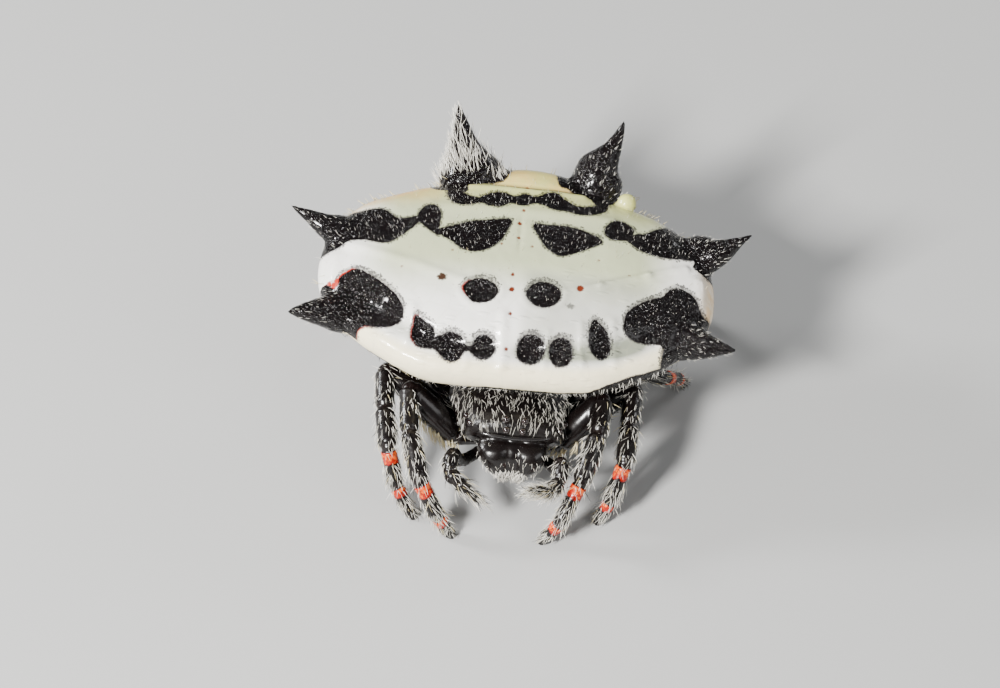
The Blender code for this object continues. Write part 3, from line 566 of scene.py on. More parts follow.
def edges_of(mesh):
    edges = np.zeros(len(mesh.edges) * 2, np.int32)
    mesh.edges.foreach_get("vertices", edges)
    return edges.reshape(-1, 2)


def points_of(mesh):
    points = np.zeros(len(mesh.vertices) * 3, np.float32)
    mesh.vertices.foreach_get("co", points)
    return points.reshape(-1, 3).astype(float)


def set_points(mesh, points):
    mesh.vertices.foreach_set("co", points.astype(np.float32).ravel())
    mesh.update()


def normals_of(mesh):
    normals = np.zeros(len(mesh.vertices) * 3, np.float32)
    mesh.vertex_normals.foreach_get("vector", normals)
    return normals.reshape(-1, 3).astype(float)


def neighbour_mean(points, edges):
    """The mean of each point's neighbours."""
    a, b = edges[:, 0], edges[:, 1]
    count = len(points)
    degree = np.maximum(np.bincount(a, minlength=count) + np.bincount(b, minlength=count), 1)
    mean = np.empty_like(points)
    for axis in range(3):
        column = points[:, axis]
        both = np.bincount(a, column[b], minlength=count) + np.bincount(b, column[a], minlength=count)
        mean[:, axis] = both / degree
    return mean


def relax(points, edges, rounds):
    """Smooths a mesh without shrinking it: each round draws points in, then lets them out."""
    for _ in range(rounds):
        for pull in (0.5, -0.52):
            points = points + (neighbour_mean(points, edges) - points) * pull
    return points


def melt(points, edges, rounds, weight):
    """Plain smoothing that rounds off the corners where weight is above 0."""
    for _ in range(rounds):
        points = points + (neighbour_mean(points, edges) - points) * weight[:, None] * 0.5
    return points


def rough_field(points, size, seed):
    """A smooth random field from -1 to 1 whose lumps are about size across."""
    q = points / size + seed * 7.31
    cell = np.floor(q).astype(np.int64)
    f = q - cell
    f = f * f * (3 - 2 * f)
    total = np.zeros(len(points))
    for dx in (0, 1):
        for dy in (0, 1):
            for dz in (0, 1):
                h = (cell[:, 0] + dx) * 73856093 ^ (cell[:, 1] + dy) * 19349663
                h = h ^ (cell[:, 2] + dz) * 83492791 ^ (seed * 1013904223)
                h = (h ^ (h >> 13)) * 1274126177 & 0x7FFFFFFF
                h = ((h ^ (h >> 15)) & 0xFFFF) / 65535.0
                weight = (f[:, 0] if dx else 1 - f[:, 0]) * (f[:, 1] if dy else 1 - f[:, 1])
                total += weight * (f[:, 2] if dz else 1 - f[:, 2]) * h
    return total * 2 - 1


def step(x, low, high):
    """0 below low, 1 above high, smooth between."""
    t = np.clip((x - low) / (high - low), 0, 1)
    return t * t * (3 - 2 * t)


def bell(x, width):
    """1 where x is 0, fading smoothly to 0 beyond about two widths."""
    return np.exp(-((x / width) ** 2))


def patch(x, y, px, py, half_width, half_length):
    """A soft round patch at one place."""
    return np.exp(-(((x - px) / half_width) ** 2 + ((y - py) / half_length) ** 2))


def inside_outline(x, y, outline, reach=0.6):
    """How deep each point lies inside a closed outline: below 0 outside, and -reach far away."""
    deep = np.full(len(x), -reach)
    low, high = outline.min(0) - reach, outline.max(0) + reach
    near = np.nonzero((x > low[0]) & (x < high[0]) & (y > low[1]) & (y < high[1]))[0]
    if not len(near):
        return deep
    px, py = x[near][:, None], y[near][:, None]
    a = outline
    b = np.roll(outline, -1, 0)
    ax, ay, bx, by = a[:, 0], a[:, 1], b[:, 0], b[:, 1]
    ex, ey = bx - ax, by - ay
    t = np.clip(((px - ax) * ex + (py - ay) * ey) / (ex * ex + ey * ey + 1e-12), 0, 1)
    distance = np.sqrt((px - ax - t * ex) ** 2 + (py - ay - t * ey) ** 2).min(1)
    crossing = ((ay > py) != (by > py)) & (px < (bx - ax) * (py - ay) / (by - ay + 1e-15) + ax)
    within = crossing.sum(1) % 2 == 1
    deep[near] = np.maximum(np.where(within, distance, -distance), -reach)
    return deep


def set_attribute(mesh, name, values):
    attribute = mesh.attributes.get(name) or mesh.attributes.new(name, "FLOAT", "POINT")
    attribute.data.foreach_set("value", np.asarray(values, np.float32))


def leave_black(mesh):
    """Marks a piece of dark skin as one without orange rings."""
    set_attribute(mesh, "ring", np.full(len(mesh.vertices), NO_RING))


def finish_piece(thing, material, slot, *nodes):
    """Turns the piece to metres, gives it its finish and lets it ride on the frame."""
    points = points_of(thing.data)
    points[:, 1] += BODY_SHIFT_Y
    set_points(thing.data, points * MM)
    thing.data.materials.clear()
    thing.data.materials.append(material)
    thing.data.shade_smooth()
    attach(thing, "root")
    if nodes:
        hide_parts(*nodes)
    return thing


# The abdomen
def to_body(points):
    """From the abdomen's own frame to the spider's."""
    c, s = math.cos(ABDOMEN_PITCH), math.sin(ABDOMEN_PITCH)
    turned = points.copy()
    turned[:, 1] = c * points[:, 1] - s * points[:, 2]
    turned[:, 2] = s * points[:, 1] + c * points[:, 2]
    return turned + ABDOMEN_ORIGIN


def to_abdomen(points):
    """From the spider's frame to the abdomen's own."""
    c, s = math.cos(ABDOMEN_PITCH), math.sin(ABDOMEN_PITCH)
    moved = points - ABDOMEN_ORIGIN
    turned = moved.copy()
    turned[:, 1] = c * moved[:, 1] + s * moved[:, 2]
    turned[:, 2] = -s * moved[:, 1] + c * moved[:, 2]
    return turned


def shield_ring(section):
    height, width, front, rear = section
    half = smooth_chain(SHIELD_OUTLINE, SHIELD_STEPS // 2 + 1)
    half[0, 0] = half[-1, 0] = 0.0
    full = mirrored(half)
    middle = (rear - front) / 2 - (SHIELD_REAR - SHIELD_FRONT) / 2 * width
    centred = full[:, 1] - (SHIELD_REAR - SHIELD_FRONT) / 2
    length = (rear + front) / (SHIELD_REAR + SHIELD_FRONT)
    y = centred * length + (SHIELD_REAR - SHIELD_FRONT) / 2 * width + middle
    return np.stack([full[:, 0] * width, y, np.full(len(full), height)], 1)


def make_abdomen_shape():
    sections = smooth_chain(ABDOMEN_SECTIONS, 90)
    shapes = [loft([shield_ring(s) for s in sections], SHIELD_CROWN, BELLY_POLE)]
    for stations, flat in zip(SPINES, SPINE_FLATNESS):
        line = smooth_chain(stations, 40)
        shapes.append(tube(line[:, :3], line[:, 3], 36, flatness=np.linspace(flat, 1, 40)))
    for stations in SKIRTS:
        line = smooth_chain(stations, 16)
        shapes.append(tube(line[:, :3], line[:, 3], 28))
    shapes.append(ball(*REAR_LOBE, 48, 24))
    shapes.append(ball(*SIDE_LOBE, 24, 12))
    x, y, z = RING_PLACE
    low = z - RING_HEIGHT
    profile = (
        (RING_RADIUS * 0.9, z + 0.5), (RING_RADIUS * 0.96, z), (RING_RADIUS, low + 0.16),
        (RING_RADIUS * 0.98, low + 0.06), (RING_RADIUS * 0.88, low), (RING_BORE * 1.12, low),
        (RING_BORE, low + 0.08), (RING_BORE * 0.92, z - 0.1),
    )
    axes = np.array((1.0, 0, 0)), np.array((0, 1.0, 0))
    rings = [circle(np.array((x, y, h)), r, *axes, 40) for r, h in profile]
    shapes.append(loft(rings, (x, y, z + 0.5), (x, y, z - 0.1)))
    root, tip, radius = TUBERCLE
    shapes.append(limb_piece(root, tip, radius, radius * 0.45, 0.0))
    return shapes


def spine_reading(points):
    """For each point: share along the nearest spine, distance outside it, and which spine it is."""
    best = np.full(len(points), 9.0)
    share = np.zeros(len(points))
    which = np.zeros(len(points), int)
    for k, stations in enumerate(SPINES):
        line = smooth_chain(stations, 17)
        for i, (start, end) in enumerate(zip(line, line[1:])):
            a, b = start[:3], end[:3]
            t = np.clip(((points - a) @ (b - a)) / ((b - a) @ (b - a)), 0, 1)
            here = (i + t) / (len(line) - 1)
            away = np.linalg.norm(points - a - t[:, None] * (b - a), axis=1)
            away = away - start[3] - t * (end[3] - start[3])
            closer = away < best
            best = np.where(closer, away, best)
            share = np.where(closer, here, share)
            which = np.where(closer, k, which)
    return share, best, which


def shell_depth(points):
    """How far inside the shield's own wall each point lies, at its height."""
    heights = [s[0] for s in ABDOMEN_SECTIONS][::-1]
    width, front, rear = (
        np.interp(points[:, 2], heights, [s[i] for s in ABDOMEN_SECTIONS][::-1]) for i in (1, 2, 3)
    )
    lean = (SHIELD_REAR - SHIELD_FRONT) / 2
    middle = (rear - front) / 2 - lean * width
    y = (points[:, 1] - lean * width - middle) * (SHIELD_REAR + SHIELD_FRONT) / (rear + front) + lean
    return inside_outline(points[:, 0] / width, y, mirrored(smooth_chain(SHIELD_OUTLINE, 33)), 1.6)


def ridge_relief(x, y):
    """Height of the low ridges of the shield."""
    total = np.zeros(len(x))
    for (ax, ay), (bx, by), height, half in RIDGES:
        ex, ey = bx - ax, by - ay
        t = ((x - ax) * ex + (y - ay) * ey) / (ex * ex + ey * ey)
        stop = np.clip(t, 0, 1)
        away = np.hypot(x - ax - stop * ex, y - ay - stop * ey)
        total += height * bell(away, half)
    return total


def mark_fields(x, y, z, top):
    """How deep each point lies in the black marks, sunk places and pits, and the smoke round marks."""
    deep, sunk, pits = (np.full(len(x), OUTSIDE) for _ in range(3))
    smoke = np.zeros(len(x))
    for name, outline in MARKS.items():
        loop = smooth_loop(outline, LOOP_STEPS)
        growth = REAR_ROW_GROWTH if name == "rear_row" else MARK_GROWTH
        inside = inside_outline(x, y, loop) + growth
        deep = np.maximum(deep, inside)
        # each mark fades out in a thin smoke, which drifts to the rear of the front marks
        shift = SMOKE_SHIFT if name in FRONT_MARKS else 0.01
        drift = inside_outline(x, y, loop + (0.0, shift)) + growth
        smoke = np.maximum(smoke, np.clip(1 + drift / SMOKE_WIDTH, 0, 1))
        if "side" not in name:
            sunk = np.maximum(sunk, inside)
    for outline in SPINE_FEET.values():
        deep = np.maximum(deep, inside_outline(x, y, smooth_loop(outline, LOOP_STEPS)))
    for px, py, half_width, half_length in SUNK_PLACES:
        reach = np.hypot((x - px) / half_width, (y - py) / half_length)
        sunk = np.maximum(sunk, (1 - reach) * min(half_width, half_length))
    for px, py, half in SMALL_PITS:
        inside = half - np.hypot(x - px, y - py)
        pits = np.maximum(pits, np.where(z > 0, inside, OUTSIDE))
    on_shield = top > 0.5
    return {
        "mark": np.where(on_shield, deep, OUTSIDE),
        "sunk": np.where(on_shield, sunk, OUTSIDE),
        "smoke": np.where(on_shield, smoke, 0.0),
        "pit": pits,
    }


def dark_edge(points):
    """Height of the rim's lower edge, below which the abdomen is black."""
    x, y, _ = points.T
    height = -0.46 - 0.1 * step(y, 1.5, 3.3) - 0.12 * step(np.abs(x), 3.5, 5.2)
    at_front = y < -1.0
    height = height + 0.3 * step(x, 2.1, 3.0) * step(4.7 - x, 0, 0.3) * at_front
    height = height - 0.12 * bell(x + 2.0, 1.0) * at_front
    return height + 0.06 * rough_field(points, 0.5, 3) + 0.03 * rough_field(points, 0.12, 4)


def black_fields(points, mark):
    """Where the abdomen is black: on the marks, on the spines and under the rim."""
    y, z = points[:, 1], points[:, 2]
    share, away, which = spine_reading(points)
    lengths = np.array([np.linalg.norm(np.array(s[-1][:3]) - np.array(s[0][:3])) for s in SPINES])
    start = np.array(SPINE_BLACK_FROM)[which]
    thorn = np.where(away < 0.3, (share - start) * lengths[which], OUTSIDE)
    lobe = np.linalg.norm((points - REAR_LOBE[0]) / REAR_LOBE[1], axis=1) - 1
    shell = shell_depth(points)
    on_lobe = (lobe < 0.05) & (shell < 0.0) & (y > 3) & (z > -0.55)
    under = np.where(on_lobe, -0.3 - z, dark_edge(points) - z)
    side_lobe = np.linalg.norm(points - SIDE_LOBE[0], axis=1) < 0.4
    black = np.maximum(np.maximum(mark, thorn), under)
    return {
        "thorn": thorn,
        "under": under,
        "on_lobe": on_lobe,
        "side_lobe": side_lobe,
        "black": np.where(side_lobe, np.minimum(black, -0.1), black),
        "groove": bell(lobe, 0.07) * bell(shell, 0.09) * (y > 3) * (z > -0.2),
        "spots": np.maximum(rough_field(points, 0.55, 8) - 0.42, 0) * step(-1.0 - z, 0, 0.4),
    }


def abdomen_relief(points, at):
    """How far the skin stands out: marks, pits, ridges, a rolled brim with a trough, low waves."""
    x, y, z = points.T
    edge, sunk, in_front = at["edge"], at["sunk"], at["in_front"]
    calm = 1 - step(at["thorn"], -0.1, 0.2)
    sink = MARK_DEPTH * step(sunk, -0.1, 0.28) * calm
    pit_sink = PIT_DEPTH * step(at["pit"], -0.05, 0.06)
    ovals = np.exp(-(((np.abs(x + 0.1) - 0.92) / 0.7) ** 2 + ((y + 0.93) / 0.7) ** 2) * 0.9)
    swell = 0.05 * ovals * bell(np.maximum(-sunk, 0) - 0.14, 0.1) * (sunk < 0) * (at["top"] > 0.5)
    brim = 0.07 * bell(edge - 0.1, 0.15) * in_front * step(z, -0.6, -0.2)
    belt = bell(edge - 0.03, 0.16) * in_front * step(z, -0.9, -0.5)
    brim = brim + belt * (0.07 * bell(x + 2.1, 0.9) - 0.06 * bell(x - 3.3, 0.6))
    trough = 0.14 * bell(edge - 0.72, 0.33) * in_front * step(5.0 - np.abs(x), 0, 0.9) * (z > 0)
    ridges = ridge_relief(x, y) * step(z, 0.0, 0.3)
    dark_side = step(at["black"], -0.02, 0.06)
    lumps = 0.022 * rough_field(points, 1.1, 5) + 0.01 * rough_field(points, 0.42, 6)
    lumps = lumps + 0.005 * rough_field(points, 0.2, 7) * (1 - dark_side)
    seam = 0.03 * bell(x, 0.07) * step(y, 0.3, 0.8) * step(2.0 - y, 0, 0.5) * (z > 0)
    grains = (0.008 * rough_field(points, 0.14, 9) + 0.01 * rough_field(points, 0.35, 10)) * dark_side
    move = (lumps + ridges + brim + swell - trough) * calm + grains
    return move - sink - pit_sink - seam - GROOVE_DEPTH * at["groove"]


def blot(x, y, place):
    """1 in the middle of a blot, 0 on its edge."""
    px, py, half_width, half_length = place
    return 1 - np.hypot((x - px) / half_width, (y - py) / half_length)


def abdomen_colours(flat, points, at):
    """The share of each tint of the enamel, and of the painted shade. flat holds the points as they were
    without relief.
    """
    x, y, z = flat.T
    edge, in_front, on_lobe = at["edge"], at["in_front"], at["on_lobe"]
    # painted shade: the trough behind the front brim is darkened, and more so on the spider's left side, away
    # from the key light
    painted_shade = bell(edge - 0.62, 0.24) * in_front * step(4.3 - np.abs(x), 0, 0.6)
    painted_shade = painted_shade * (1 - 0.95 * bell(x + 0.3, 0.34)) * (z > 0)
    right = step(x, 0.0, 0.5) * step(4.3 - x, 0, 0.8)
    painted_shade = (
        painted_shade * (0.6 + 0.6 * step(x, -0.3, 0.6))
        + 0.55 * right * step(0.1 - y, 0, 0.5) * step(y, -2.75, -2.2)
    )
    cream = step(y, 1.7, 3.0) * 0.75 + 0.35 * (on_lobe | at["side_lobe"])
    margin = bell(edge - 0.02, 0.32) * (z > -0.5)
    rear_right = step(-1.0 - x, 0, 0.6) * step(y, 1.2, 1.8)
    far_left = 0.8 * step(x, 4.5, 4.9) * step(y, -1.3, -0.9)
    warm = margin * (rear_right + far_left)
    warm = warm + 0.7 * on_lobe * step(z, -0.1, 0.25) * (1 - bell(x - 0.5, 0.5) * 0.6)
    warm = warm + 0.35 * patch(x, y, -3.2, 2.5, 1.0, 0.4)
    rust = step(-4.55 - x, 0, 0.25) * step(-0.2 - y, 0, 0.2) * step(y, -1.4, -1.15)
    for strength, px, py, half_width, half_length in RUST_PATCHES:
        rust = rust + strength * patch(x, y, px, py, half_width, half_length)
    return {
        "brown_blot": blot(x, y, BROWN_BLOT),
        "grey_blot": blot(x, y, GREY_BLOT),
        "painted_shade": painted_shade * (1 + 0.25 * rough_field(points, 0.7, 21)),
        "spots": at["spots"],
        "groove": at["groove"],
        "cream": np.clip(cream, 0, 1),
        "warm": np.clip(warm, 0, 1),
        # a greenish tint of the rear two thirds, also darkened as painted shade so that the front, which
        # faces the light, stays whiter
        "green_tint_and_shade": step(y, -1.6, 0.3) * step(4.9 - np.abs(x), 0, 1.5),
        "lip": step(0.42 - edge, 0, 0.25) * in_front,
        "rust": rust,
    }


def make_abdomen():
    thing = one_skin("abdomen_shell", make_abdomen_shape(), ABDOMEN_VOXEL)
    mesh = thing.data
    edges = edges_of(mesh)
    flat = relax(points_of(mesh), edges, 6)
    share, away, _ = spine_reading(flat)
    foot = step(0.6 - away, 0.0, 0.4) * step(0.5 - share, 0.0, 0.25)
    flat = melt(flat, edges, 20, foot)
    set_points(mesh, flat)
    normals = normals_of(mesh)
    x, y, z = flat.T
    at = {
        "top": step(normals[:, 2], -0.25, 0.1) * step(z, -0.75, -0.45),
        "edge": inside_outline(x, y, mirrored(smooth_chain(SHIELD_OUTLINE, 65)), 1.6),
        "in_front": step(-y, 0.9, 2.0),
    }
    at.update(mark_fields(x, y, z, at["top"]))
    at.update(black_fields(flat, at["mark"]))
    points = flat + normals * abdomen_relief(flat, at)[:, None]
    set_points(mesh, points)
    dash = at["in_front"] * step(at["edge"], 0.0, 0.2) * (z > -0.3)
    fields = {
        "black": at["black"],
        "pit": at["pit"],
        "dash": dash + 0.5 * step(0.3 - y, 0, 0.5) * (x > 1),
        "smoke": at["smoke"],
        "mark": at["mark"],
        "under": at["under"],
        **abdomen_colours(flat, points, at),
    }
    for name, values in fields.items():
        set_attribute(mesh, name, values)
    set_points(mesh, to_body(points))
    return thing


# The dark body
def head_ring(y, half_width, top, bottom, power):
    angle = np.linspace(0, 2 * math.pi, HEAD_STEPS, endpoint=False)
    c, s = np.cos(angle), np.sin(angle)
    waist = min(max(HEAD_WAIST, bottom + 0.3 * (top - bottom)), top - 0.3 * (top - bottom))
    x = half_width * np.sign(c) * np.abs(c) ** (2 / power)
    reach = np.where(s > 0, top - waist, waist - bottom)
    z = waist + reach * np.sign(s) * np.abs(s) ** (2 / power)
    x = np.where(s < 0, x * (1 - (1 - STERNUM_SHARE) * np.minimum(1.0, np.abs(s) * 1.4)), x)
    return np.stack([x, np.full(HEAD_STEPS, y), z], 1)


def limb_radii(name):
    if name.startswith("palp"):
        return [(a - COAT * 0.7, b - COAT * 0.5) for a, b in PALP_RADII], [0.0] * 5
    share = HIND_LEG_SHARE if name[-1] in "34" else 1.0
    radii = [(a * share - COAT, b * share - COAT) for a, b in LEG_RADII]
    radii[-1] = (radii[-1][0], LEG_RADII[-1][1] * share - COAT * 0.6)
    return radii, [b * share for b in LEG_BULGE]


LIMBS = {**LEGS, **PALPS}


def limb_segments():
    """Every straight piece of every limb: limb number, piece number, start and end."""
    found = []
    for n, (name, joints) in enumerate(LIMBS.items()):
        radii, bulge = limb_radii(name)
        for k, (a, b) in enumerate(zip(joints, joints[1:])):
            found.append((n, k, np.array(a, float), np.array(b, float), (*radii[k], bulge[k])))
    return found


def limb_reading(points):
    """For each point: the nearest limb piece, the distance along it and from its surface."""
    pieces = limb_segments()
    best = np.full(len(points), 99.0)
    limb = np.full(len(points), -1)
    part = np.full(len(points), -1)
    along = np.zeros(len(points))
    left = np.zeros(len(points))
    axis_of = np.zeros((len(points), 3))
    foot_of = np.zeros((len(points), 3))
    for n, k, a, b, (r0, r1, bulge) in pieces:
        axis = b - a
        size = np.linalg.norm(axis)
        t = np.clip(((points - a) @ axis) / size**2, 0, 1)
        foot = a + t[:, None] * axis
        radius = r0 + (r1 - r0) * t + bulge * np.sin(math.pi * t)
        away = np.linalg.norm(points - foot, axis=1) - radius
        closer = away < best
        best = np.where(closer, away, best)
        limb = np.where(closer, n, limb)
        part = np.where(closer, k, part)
        along = np.where(closer, t * size, along)
        left = np.where(closer, (1 - t) * size, left)
        axis_of[closer] = axis / size
        foot_of[closer] = foot[closer]
    return {
        "limb": limb, "part": part, "along": along, "left": left,
        "away": best, "axis": axis_of, "foot": foot_of,
    }


def lean(shape):
    """Moves what belongs to the head sideways, most at the face and not at all at the pedicel."""
    points, faces = shape
    moved = points.copy()
    moved[:, 0] += HEAD_LEAN * np.clip(1 - moved[:, 1] / HEAD_LEAN_FROM, 0, 1)
    return moved, faces


def make_dark_shape():
    sections = smooth_chain(HEAD_SECTIONS, 36)
    shapes = [lean(loft([head_ring(*s) for s in sections], HEAD_FRONT_POLE, HEAD_REAR_POLE))]
    for centre, radii in MOUTHPARTS:
        shapes.append(lean(ball(centre, np.array(radii) - 0.02)))
    start, end, radius = PEDICEL
    shapes.append(limb_piece(start, end, radius, radius, -0.04))
    # the two jaws stand close together, and flesh between them leaves only a shallow groove
    for side, thinner in ((-1, 1.0), (1, 1.0), (0, 0.8)):
        sections = smooth_chain(CHELICERA_SECTIONS, 24)
        axes = np.array((1.0, 0, 0)), np.array((0, 1.0, 0))
        rings = [
            circle(np.array((HEAD_LEAN + side * (x - JAW_CLOSER), y, z)), r * thinner, *axes, 36)
            for z, x, y, r in sections
        ]
        z, x, y, _ = CHELICERA_SECTIONS[0]
        low_z, low_x, low_y, _ = CHELICERA_SECTIONS[-1]
        top = (HEAD_LEAN + side * x, y, z + 0.08)
        low = (HEAD_LEAN + side * low_x, low_y, low_z - 0.04)
        shapes.append(loft(rings, top, low))
    for name, joints in LIMBS.items():
        radii, bulge = limb_radii(name)
        for (a, b), (r0, r1), swell in zip(zip(joints, joints[1:]), radii, bulge):
            shapes.append(limb_piece(a, b, r0, r1, swell))
    return shapes


def make_dark_body():
    thing = one_skin("body_skin", make_dark_shape(), BODY_VOXEL)
    mesh = thing.data
    edges = edges_of(mesh)
    points = relax(points_of(mesh), edges, 9)
    points[:, 2] = np.maximum(points[:, 2], 0.0)
    set_points(mesh, points)
    normals = normals_of(mesh)
    read = limb_reading(points)
    on_leg = (read["away"] < 0.2) & (read["limb"] < len(LEGS))
    on_limb = read["away"] < 0.2
    joint = np.where(read["part"] > 0, bell(read["along"], 0.07), 0)
    joint = joint + bell(read["left"], 0.07) * (read["part"] < 5)
    flare = bell(read["along"] - 0.16, 0.09) + bell(read["left"] - 0.16, 0.09)
    groove = np.where(on_limb, 0.04 * np.minimum(joint, 1) - 0.018 * flare, 0)
    grains = np.where(on_limb, 0.003, 0.008) * rough_field(points, 0.12, 11)
    grains = grains + 0.004 * rough_field(points, 0.3, 12)
    x, y, z = points.T
    # the groove between head and thorax
    head = (z > 1.9) & ~on_limb
    cervical = 0.06 * bell(y - 1.5 - 0.25 * np.abs(x), 0.12) * head
    points = points + normals * (grains - groove - cervical)[:, None]
    points[:, 2] = np.maximum(points[:, 2], 0.0)
    set_points(mesh, points)

    # orange rings at the start of the last two pieces of each leg
    ring = np.full(len(points), NO_RING)
    for piece, (middle, half) in LEG_RINGS.items():
        ring = np.where(on_leg & (read["part"] == piece), half - np.abs(read["along"] - middle), ring)
    set_attribute(mesh, "ring", ring)
    set_attribute(mesh, "joint", np.where(on_limb, np.minimum(joint, 1), 0))
    jaws = (y < 0.45) & (z < 2.45) & (z > 1.2) & ~on_limb
    gloss = np.where(on_leg & (read["part"] <= 1), 1.0, np.where(on_limb, 0.5, np.where(jaws, 0.8, 0.0)))
    set_attribute(mesh, "gloss", gloss)
    return thing


def eye_place(name):
    """Centre and radius of an eye's node, in the spider's frame."""
    low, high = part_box(name)
    centre = np.array((low + high) / 2) / MM
    centre[1] -= BODY_SHIFT_Y
    return centre, (high - low).x / MM / 2


def make_eyes(material):
    for name in EYE_NODES:
        centre, radius = eye_place(name)
        thing = object_from(f"{name}_lens", ball(centre, (radius,) * 3, 40, 20))
        finish_piece(thing, material, "eye", name)


def make_fangs(material):
    for side, word in ((-1, "right"), (1, "left")):
        line = smooth_chain([np.array(p) * (side, 1, 1) + (HEAD_LEAN, 0, 0) for p in FANG], 14)
        radii = np.interp(np.linspace(0, 1, 14), (0, 0.5, 1), FANG_RADII)
        thing = object_from(f"fang_{word}", tube(line, radii, 20))
        leave_black(thing.data)
        finish_piece(thing, material, "black_cuticle")


def make_lip(material):
    half = np.array(LIP_LINE)
    line = smooth_chain(np.vstack([half[::-1] * (-1, 1, 1), half[1:]]) + (HEAD_LEAN, 0, 0), 40)
    radii = LIP_RADIUS * (1 - 0.75 * np.abs(np.linspace(-1, 1, 40)) ** 4)
    thing = object_from("lip", tube(line, radii, 16))
    finish_piece(thing, material, "black_cuticle")


def make_claws(material):
    shapes = []
    for joints in LEGS.values():
        last, tip = np.array(joints[-2]), np.array(joints[-1])
        along = unit(tip - last)
        side, _ = across(along)
        for way in (-1, 1):
            start = tip - along * 0.1 + side * way * 0.05 + np.array((0, 0, 0.1))
            forward = unit(along * (1, 1, 0) + 1e-6)
            middle, point = start + forward * 0.1 + (0, 0, 0.02), start + forward * 0.17 + (0, 0, -0.06)
            line = smooth_chain((start, middle, point), 8)
            shapes.append(tube(line, np.linspace(0.032, 0.008, 8), 10))
    thing = object_from("claws", joined(shapes))
    leave_black(thing.data)
    finish_piece(thing, material, "black_cuticle")


def make_spinnerets(material):
    x, y, z = RING_PLACE
    shapes = [ball((x, y, z - 0.36), (0.33, 0.33, 0.14))]
    for out, along, share in SPINNERET_PAIRS:
        for side in (-1, 1):
            start = np.array((x + out * side, y + along, z - 0.36))
            end = start + np.array((out * side * 0.5, along * 0.5, -SPINNERET_LENGTH * share))
            radius = SPINNERET_RADIUS * share
            middle = start + (end - start) * 0.62
            shapes.append(limb_piece(start, middle, radius, radius * 0.82, 0.01, 20))
            shapes.append(limb_piece(middle, end, radius * 0.66, radius * 0.5, 0.01, 20))
    thing = one_skin("spinneret_skin", shapes, SPINNERET_VOXEL)
    mesh = thing.data
    points = relax(points_of(mesh), edges_of(mesh), 3)
    set_points(mesh, to_body(points))
    leave_black(mesh)
    finish_piece(thing, material, "black_cuticle", "spinnerets")


# Bristles
def read_attribute(mesh, name):
    values = np.zeros(len(mesh.vertices), np.float32)
    mesh.attributes[name].data.foreach_get("value", values)
    return values.astype(float)


def surface_samples(mesh, density, rng):
    """Points spread over a mesh at density per square millimetre, a value for each vertex."""
    mesh.calc_loop_triangles()
    corners = np.zeros(len(mesh.loop_triangles) * 3, np.int32)
    mesh.loop_triangles.foreach_get("vertices", corners)
    corners = corners.reshape(-1, 3)
    points, normals = points_of(mesh), normals_of(mesh)
    a, b, c = (points[corners[:, i]] for i in range(3))
    area = 0.5 * np.linalg.norm(np.cross(b - a, c - a), axis=1)
    wanted = area * density[corners].mean(1)
    count = np.floor(wanted + rng.random(len(wanted))).astype(int)
    face = np.repeat(np.arange(len(corners)), count)
    u, v = rng.random(len(face)), rng.random(len(face))
    flip = u + v > 1
    u, v = np.where(flip, 1 - u, u), np.where(flip, 1 - v, v)
    w = 1 - u - v
    share = np.stack([w, u, v], 1)[:, :, None]
    spot = (points[corners[face]] * share).sum(1)
    normal = unit((normals[corners[face]] * share).sum(1))
    return spot, normal


# share of a bristle's length and of its radius, before it ends in a point
BRISTLE_STATIONS = ((0.0, 1.0), (0.38, 0.86), (0.74, 0.55))


